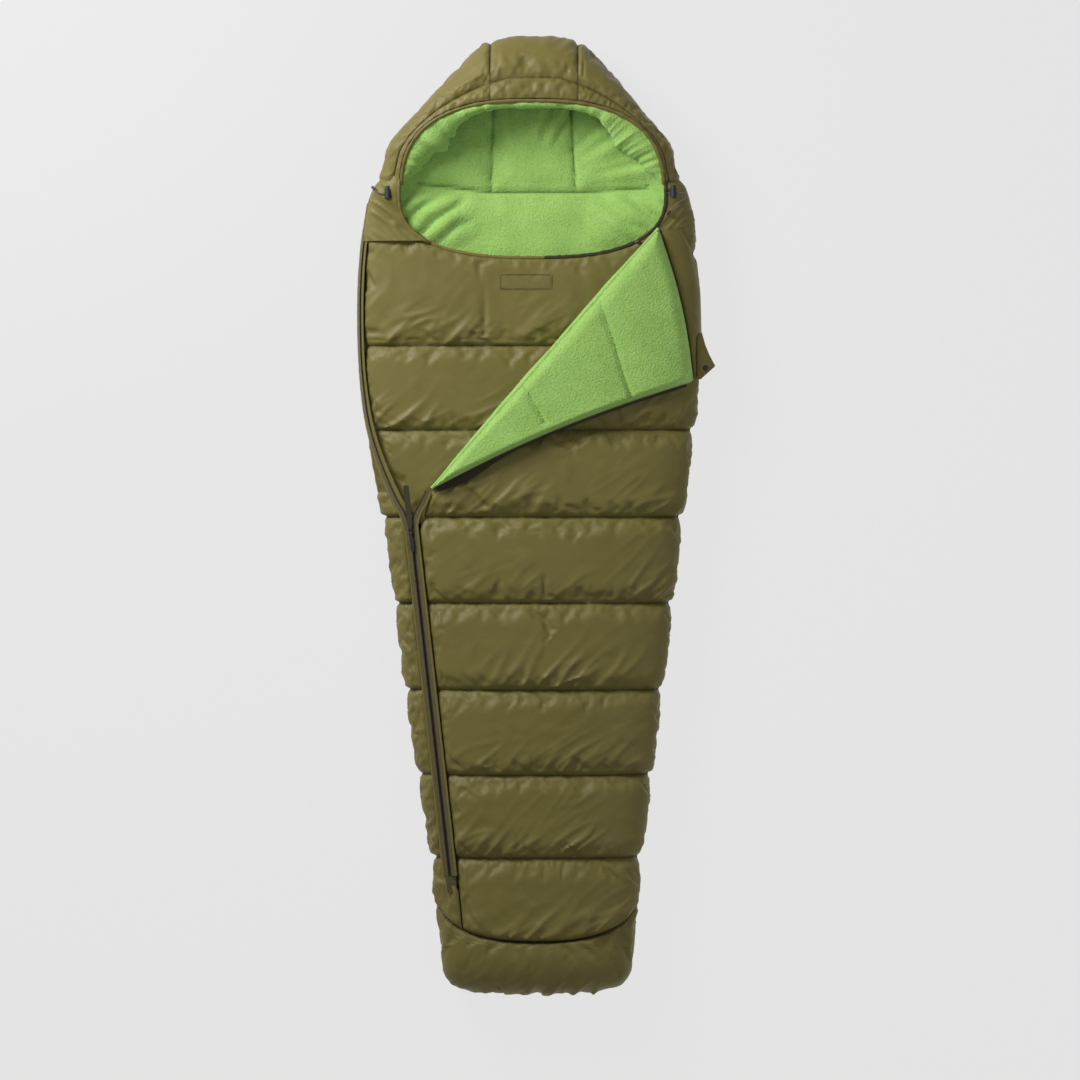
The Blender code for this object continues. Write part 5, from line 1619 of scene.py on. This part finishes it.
    def closure_tab(self):
        """The pointed end of the hem strip, which folds over to hold the slider."""
        left = np.array([(TAB_LEFT_X, y) for y in (0.408, 0.378, 0.345, 0.320, 0.303)])
        right = np.array(((0.3712, 0.408), (0.3790, 0.380), (0.3880, 0.358), (0.4015, 0.333),
                          (0.3680, 0.303)))
        along = np.linspace(0, 1, 40)
        knots = np.array((0.0, 0.28, 0.55, 0.85, 1.0))
        left, right = (np.stack([np.interp(along, knots, side[:, k]) for k in range(2)], -1)
                       for side in (left, right))
        across = np.linspace(0, 1, 14)
        plan = left[:, None] * (1 - across[None, :, None]) + right[:, None] * across[None, :, None]
        level = np.interp(plan[..., 1], (0.30, 0.36, 0.408), (0.0905, 0.0905, 0.0850))
        level = level - 0.010 * np.clip((plan[..., 0] - TAB_LEFT_X) / 0.04, 0, 1) ** 1.5
        dome = np.sqrt(np.clip(1 - (2 * across[None] - 1) ** 4, 0, 1)) * np.sqrt(
            np.clip(1 - (2 * along[:, None] - 1) ** 8, 0, 1))
        top = np.concatenate((plan, (level + 0.0035 * dome)[..., None]), -1)
        low = np.concatenate((plan, (level - 0.0015 * dome - 0.0002)[..., None]), -1)
        add_piece("hem_tab", solid_mesh("hem_tab", top, low), shell_material(), "tab", "shell", "closure_tab")


# ---- Zip ---------------------------------------------------------------------------------------
def zip_frames(path, banks):
    """Ahead, left and normal directions along a zip path."""
    ahead = np.gradient(path, axis=0)
    ahead /= np.linalg.norm(ahead, axis=1, keepdims=True)
    level = np.cross((0.0, 0.0, 1.0), ahead)
    level /= np.linalg.norm(level, axis=1, keepdims=True)
    upright = np.cross(ahead, level)
    left = level * np.cos(banks)[:, None] - upright * np.sin(banks)[:, None]
    return ahead, left, np.cross(ahead, left)


def up_of(path, banks):
    """Directions square to the zip's face along its path."""
    return zip_frames(path, banks)[2]


def ribbon(path, banks, low, high, thickness):
    """A woven tape beside a zip path, with slightly wavy height. Low and high may vary along it."""
    _, left, up = zip_frames(path, banks)
    low, high = np.broadcast_to(low, len(path))[:, None], np.broadcast_to(high, len(path))[:, None]
    across = low + (high - low) * np.linspace(0, 1, 7)
    wave = 0.0003 * np.array([noise.noise(Vector(p * 60)) for p in path])
    grid = path[:, None] + left[:, None] * across[..., None] + (up * wave[:, None])[:, None]
    return between(grid + up[:, None] * thickness / 2, grid - up[:, None] * thickness / 2)


def teeth(path, banks, low, high, height, offset):
    """The turns of a nylon coil along a zip path."""
    ahead, left, up = zip_frames(path, banks)
    shapes = []
    along = np.concatenate(([0.0], np.cumsum(np.linalg.norm(np.diff(path, axis=0), axis=1))))
    pitch = sizes().tooth
    for at in np.arange(pitch * (0.5 + offset), along[-1], pitch):
        def value(data):
            return np.array([np.interp(at, along, data[:, k]) for k in range(3)])
        a, l, u = value(ahead), value(left), value(up)
        centre = value(path) + l * (low + high) / 2
        shapes.append(block(centre, (l, u, a), (abs(high - low) / 2, height / 2, pitch * 0.36)))
    return shapes


def closed_path():
    """The closed stretch of the zip, from its foot end to the slider."""
    return ZIP_END + (SLIDER_AT - ZIP_END) * np.linspace(0, 1, 60)[:, None]


def left_zip():
    """Path and tilts of the left coil, from the foot end to the neck."""
    ys = np.linspace(0.005, 0.700, 80)
    rows = hermite(LEFT_OPEN, ys)
    opened = np.stack((rows[:, 0], ys, rows[:, 1]), -1)
    path = np.concatenate((closed_path(), opened))
    banks = np.concatenate((np.full(60, ZIP_BANK), np.radians(rows[:, 2])))
    return path, banks


def right_zip():
    """Path and tilts of the right coil, from the foot end to the fold."""
    head = (SLIDER_AT - ZIP_END) / np.linalg.norm(SLIDER_AT - ZIP_END)
    start = SLIDER_AT + head * 0.016
    bend = curve_through([start, (-0.2750, 0.005, 0.110), (-0.2590, 0.034, 0.117),
                          (-0.2520, 0.052, 0.120)], 14)
    path = np.concatenate((closed_path(), bend))
    banks = np.concatenate((np.full(60, ZIP_BANK), np.linspace(math.radians(14), 0, 14)))
    return path, banks


def flap_zip():
    """Path of the coil along the folded corner's edge."""
    outward = flap_outward(FOLD_LOW, FLAP_CORNER)
    share = np.linspace(0.015, 0.97, 90)[:, None]
    path = FOLD_LOW * (1 - share) + FLAP_CORNER * share + outward * (flap_sag(share) + 0.0040)
    path[:, 2] = upper_z(path[:, 0], path[:, 1]) + 0.0062 + 0.010 * np.clip(share[:, 0] / 0.3, 0, 1)
    return path, np.zeros(len(path))


class BAG_OT_zip(bpy.types.Operator):
    """Run the zip's tapes and coils"""

    bl_idname = "bag.zip"
    bl_label = "Zip Tapes and Coils"

    def execute(self, context):
        inner, outer = COIL_SLOT / 2, COIL_SLOT / 2 + 0.0026
        tape = (outer + 0.0004, outer + 0.0105)
        path, banks = left_zip()
        self.add("zip_tape_left", [ribbon(path, banks, *tape, 0.0008)], tape_material(), "tape", "root")
        self.add("zip_coil_left", teeth(path, banks, inner, outer, 0.0024, 0.0), coil_material(),
                 "coil", "root")
        opened = path[:, 1] > -0.045
        bed = path - up_of(path, banks) * 0.0035
        self.add("zip_facing_left", [ribbon(bed[opened], banks[opened], -0.009, 0.0165, 0.0016)],
                 shell_material(), "shell", "root", new=True)
        closed = path[:, 1] < -0.010
        deep = path - up_of(path, banks) * 0.0080
        self.add("zip_backing", [ribbon(deep[closed], banks[closed], -0.0145, 0.0145, 0.0010)],
                 binding_material(), "tape", "root", new=True)
        path, banks = right_zip()
        self.add("zip_tape_right", [ribbon(path, banks, -tape[1], -tape[0], 0.0008)], tape_material(),
                 "tape", "root")
        self.add("zip_coil_right", teeth(path, banks, -outer, -inner, 0.0024, 0.5), coil_material(),
                 "coil", "root")
        path, banks = flap_zip()
        along = np.linspace(0, 1, len(path))
        # Painted shadow: the flap's dark tape widens to about 18 mm near its fold end, partly the real tape
        # and partly the shadow band under the flap's edge
        tape_and_shadow_width = 0.0030 + 0.0150 * np.exp(-((along - 0.11) / 0.12) ** 2)
        self.add("flap_zip_tape", [ribbon(path, banks, -tape_and_shadow_width, 0.0, 0.0008)], binding_material(),
                 "tape", "flap")
        self.add("flap_zip_coil", teeth(path, banks, 0.0, 0.0030, 0.0024, 0.0), coil_material(),
                 "coil", "flap")
        return {"FINISHED"}

    def add(self, node, shapes, material, slot, body, new=False):
        """One tape or coil in place of its node, or a piece of its own."""
        name, nodes = (node, ()) if new else (node + "_detail", (node,))
        add_piece(name, joined(node, shapes), material, body, slot, *nodes)


class BAG_OT_zip_placket(bpy.types.Operator):
    """Turn the shell's edges in beside the zip"""

    bl_idname = "bag.zip_placket"
    bl_label = "Zip Edges"

    def execute(self, context):
        path, banks = left_zip()
        _, left, up = zip_frames(path, banks)
        self.add("zip_edge_left", path + left * 0.0145 - up * 0.0006, 0.0024, 21)
        path, banks = right_zip()
        _, left, up = zip_frames(path, banks)
        self.add("zip_edge_right", path - left * 0.0150 - up * 0.0004, 0.0026, 22)
        return {"FINISHED"}

    def add(self, name, path, radius, seed):
        """One turned edge."""
        mesh = joined(name, [wrinkled_tube(path, radius, 0.16, seed, 10)])
        add_piece(name, mesh, shell_material(), "root", "shell")


# ---- Stitching ----------------------------------------------------------------------------------
def stitches(line, gap=0.35):
    """Small raised threads in a row along a line."""
    fine = resample(line, sizes().stitch)
    shapes = []
    for a, b in zip(fine[:-1], fine[1:]):
        start, end = a + (b - a) * gap / 2, b - (b - a) * gap / 2
        shapes.append(tube(np.linspace(start, end, 3), np.array((0.00035, 0.0006, 0.00035)), 5))
    return shapes


class BAG_OT_stitching(bpy.types.Operator):
    """Sew rows of stitches along the quilting seams"""

    bl_idname = "bag.stitching"
    bl_label = "Stitching"

    def execute(self, context):
        shapes = []
        for name in ("front_quilt", "side_quilt", "inner_quilt"):
            wall = WALLS[name]
            for row in wall.fixed_rows:
                shapes += stitches(wall.skin[row, 1:-1] + wall.facing[row, 1:-1] * STITCH_LIFT)
        for name in ("hood_right_quilt", "hood_centre_quilt", "hood_left_quilt"):
            wall = WALLS[name]
            column = wall.fixed_columns[0]
            shapes += stitches(wall.skin[:, column] + wall.facing[:, column] * STITCH_LIFT)
        add_piece("seam_stitches", joined("seam_stitches", shapes), thread_material(), "root", "binding")
        return {"FINISHED"}


# ---- Label ----------------------------------------------------------------------------------------
class BAG_OT_label(bpy.types.Operator):
    """Sew the blank label patch to the inner panel"""

    bl_idname = "bag.label"
    bl_label = "Label Patch"

    def execute(self, context):
        wall = WALLS["inner_quilt"]
        grid = finer(wall.skin).reshape(-1, 3)
        xs, ys = np.meshgrid(np.linspace(-0.084, 0.034, 40), np.linspace(0.505, 0.540, 14))
        flat = np.stack((xs.ravel(), ys.ravel()), -1)
        near = grid[(np.abs(grid[:, 0] + 0.025) < 0.1) & (np.abs(grid[:, 1] - 0.52) < 0.06)]
        gap = np.linalg.norm(flat[:, None] - near[None, :, :2], axis=-1)
        weight = 1 / (gap + 0.002) ** 4
        z = (weight * near[None, :, 2]).sum(1) / weight.sum(1)
        top = np.stack((xs, ys, z.reshape(xs.shape)), -1)
        u, v = (xs + 0.025) / 0.059, (ys - 0.5225) / 0.0175
        border = np.exp(-((np.abs(u) - 0.93) / 0.03) ** 2) + np.exp(-((np.abs(v) - 0.80) / 0.10) ** 2)
        top[..., 2] += 0.0018 - 0.0007 * np.clip(border, 0, 1)
        low = top.copy()
        low[..., 2] -= 0.0024
        patch = solid_mesh("label_patch_blank", top, low)
        add_piece("label_patch_blank", patch, label_material(), "root", "label", "label_patch")
        edge = np.concatenate((top[0], top[:, -1], top[-1, ::-1], top[::-1, 0]))
        inset = edge + (top.mean((0, 1)) - edge) * np.array((0.045, 0.11, 0)) + np.array((0, 0, 0.0004))
        thread = joined("label_stitches", stitches(inset))
        add_piece("label_stitches", thread, thread_material(), "root", "binding")
        return {"FINISHED"}


def label_material():
    """Woven blank label, close to the shell's colour."""
    shell = tuple(v * 0.92 for v in colours().shell)
    return webbing_material("woven_label", shell, 800.0, 0.65)


# ---- Hardware and cords ------------------------------------------------------------------------------
def renew(node, material):
    """Give a CAD node's object a better material."""
    piece = bpy.data.objects[node]
    for slot in piece.material_slots:
        slot.material = material


class BAG_OT_hardware(bpy.types.Operator):
    """Finish the slider, pullers, snap and cord locks"""

    bl_idname = "bag.hardware"
    bl_label = "Slider, Pullers, Snap and Locks"

    def execute(self, context):
        for node in ("slider_body", "zip_top_stop", "left_lock_spring", "right_lock_spring"):
            renew(node, metal_material())
        for node in ("tab_snap", "outer_puller", "left_lock_body", "left_lock_button", "right_lock_body",
                     "right_lock_button", "left_cord_end", "right_cord_end"):
            renew(node, plastic_material())
        renew("long_puller", binding_material())
        renew("zip_end_patch", tape_material())
        renew("zip_draft_tube", fleece_material())
        return {"FINISHED"}


class BAG_OT_drawcords(bpy.types.Operator):
    """Lay the free tails of the hood's drawcord"""

    bl_idname = "bag.drawcords"
    bl_label = "Drawcord Tails"

    def execute(self, context):
        for side, points in (("right", RIGHT_TAIL), ("left", LEFT_TAIL)):
            path = curve_through(points, 34)
            shape = tube(path, 0.0015, 12)
            name = f"{side}_drawcord"
            cord = add_piece(name, joined(name, [shape]), cord_material(), "root", "cord",
                             f"{side}_cord_tail")
            tuple(path[0])
            [tuple(p) for p in path]
        return {"FINISHED"}


# ---- Stage ----------------------------------------------------------------------------------------------
class BAG_OT_stage(bpy.types.Operator):
    """Set up the floor, the soft lights and the camera above the bag"""

    bl_idname = "bag.stage"
    bl_label = "Stage"

    def execute(self, context):
        scene = context.scene
        scene.view_settings.view_transform = "Standard"
        mesh = bpy.data.meshes.new("floor")
        mesh.from_pydata([(-30, -30, -0.001), (30, -30, -0.001), (30, 30, -0.001), (-30, 30, -0.001)],
                         [], [(0, 1, 2, 3)])
        floor = link("floor", mesh, floor_material(), None)
        world = bpy.data.worlds.new("studio")
        world.use_nodes = True
        world.node_tree.nodes["Background"].inputs["Color"].default_value = (1.0, 1.0, 1.0, 1)
        world.node_tree.nodes["Background"].inputs["Strength"].default_value = 0.27
        scene.world = world
        self.lamp("key", (-1.75, 1.95, 1.60), 1.1, 88.0)
        self.lamp("fill", (1.9, -0.6, 3.0), 2.5, 14.0)
        data = bpy.data.cameras.new("camera")
        data.sensor_width = SENSOR_WIDTH
        data.lens = LENS
        camera = bpy.data.objects.new("camera", data)
        scene.collection.objects.link(camera)
        camera.location = (0.007, -0.058, VIEW_WIDTH * LENS / SENSOR_WIDTH + 0.10)
        scene.camera = camera
        return {"FINISHED"}

    def lamp(self, name, place, size, power):
        """A soft square light aimed at the bag."""
        data = bpy.data.lights.new(name, "AREA")
        data.size = size
        data.energy = power
        lamp = bpy.data.objects.new(name, data)
        lamp.location = place
        lamp.rotation_euler = (Vector((0.0, 0.0, 0.0)) - Vector(place)).to_track_quat("-Z", "Y").to_euler()
        bpy.context.scene.collection.objects.link(lamp)


# ---- Panel and registration -------------------------------------------------------------------------------
STEPS = (BAG_OT_stage, BAG_OT_drawcords, BAG_OT_quilted_walls, BAG_OT_linings, BAG_OT_edge_bindings,
         BAG_OT_folded_corner, BAG_OT_zip, BAG_OT_zip_placket, BAG_OT_stitching, BAG_OT_label,
         BAG_OT_hardware)


class BAG_PT_panel(bpy.types.Panel):
    """Lists the steps that build the bag, with their settings"""

    bl_idname = "BAG_PT_panel"
    bl_label = "Mummy Sleeping Bag"
    bl_space_type = "VIEW_3D"
    bl_region_type = "UI"
    bl_category = "Sleeping Bag"

    def draw(self, context):
        for settings in (context.scene.bag_sizes, context.scene.bag_cloth, context.scene.bag_colours):
            box = self.layout.box()
            for name in settings.__annotations__:
                box.prop(settings, name)
        for step in STEPS:
            self.layout.operator(step.bl_idname)


CLASSES = (BagSizes, BagCloth, BagColours) + STEPS + (BAG_PT_panel,)


def register():
    """Register the add-on's classes and settings."""
    for each in CLASSES:
        bpy.utils.register_class(each)
    bpy.types.Scene.bag_sizes = bpy.props.PointerProperty(type=BagSizes)
    bpy.types.Scene.bag_cloth = bpy.props.PointerProperty(type=BagCloth)
    bpy.types.Scene.bag_colours = bpy.props.PointerProperty(type=BagColours)


def unregister():
    """Take the add-on's classes and settings away."""
    del bpy.types.Scene.bag_sizes
    del bpy.types.Scene.bag_cloth
    del bpy.types.Scene.bag_colours
    for each in reversed(CLASSES):
        bpy.utils.unregister_class(each)


def main():
    """Build the whole bag."""
    register()
    for step in STEPS:
        area, name = step.bl_idname.split(".")
        getattr(getattr(bpy.ops, area), name)()


if __name__ == "__main__":
    main()
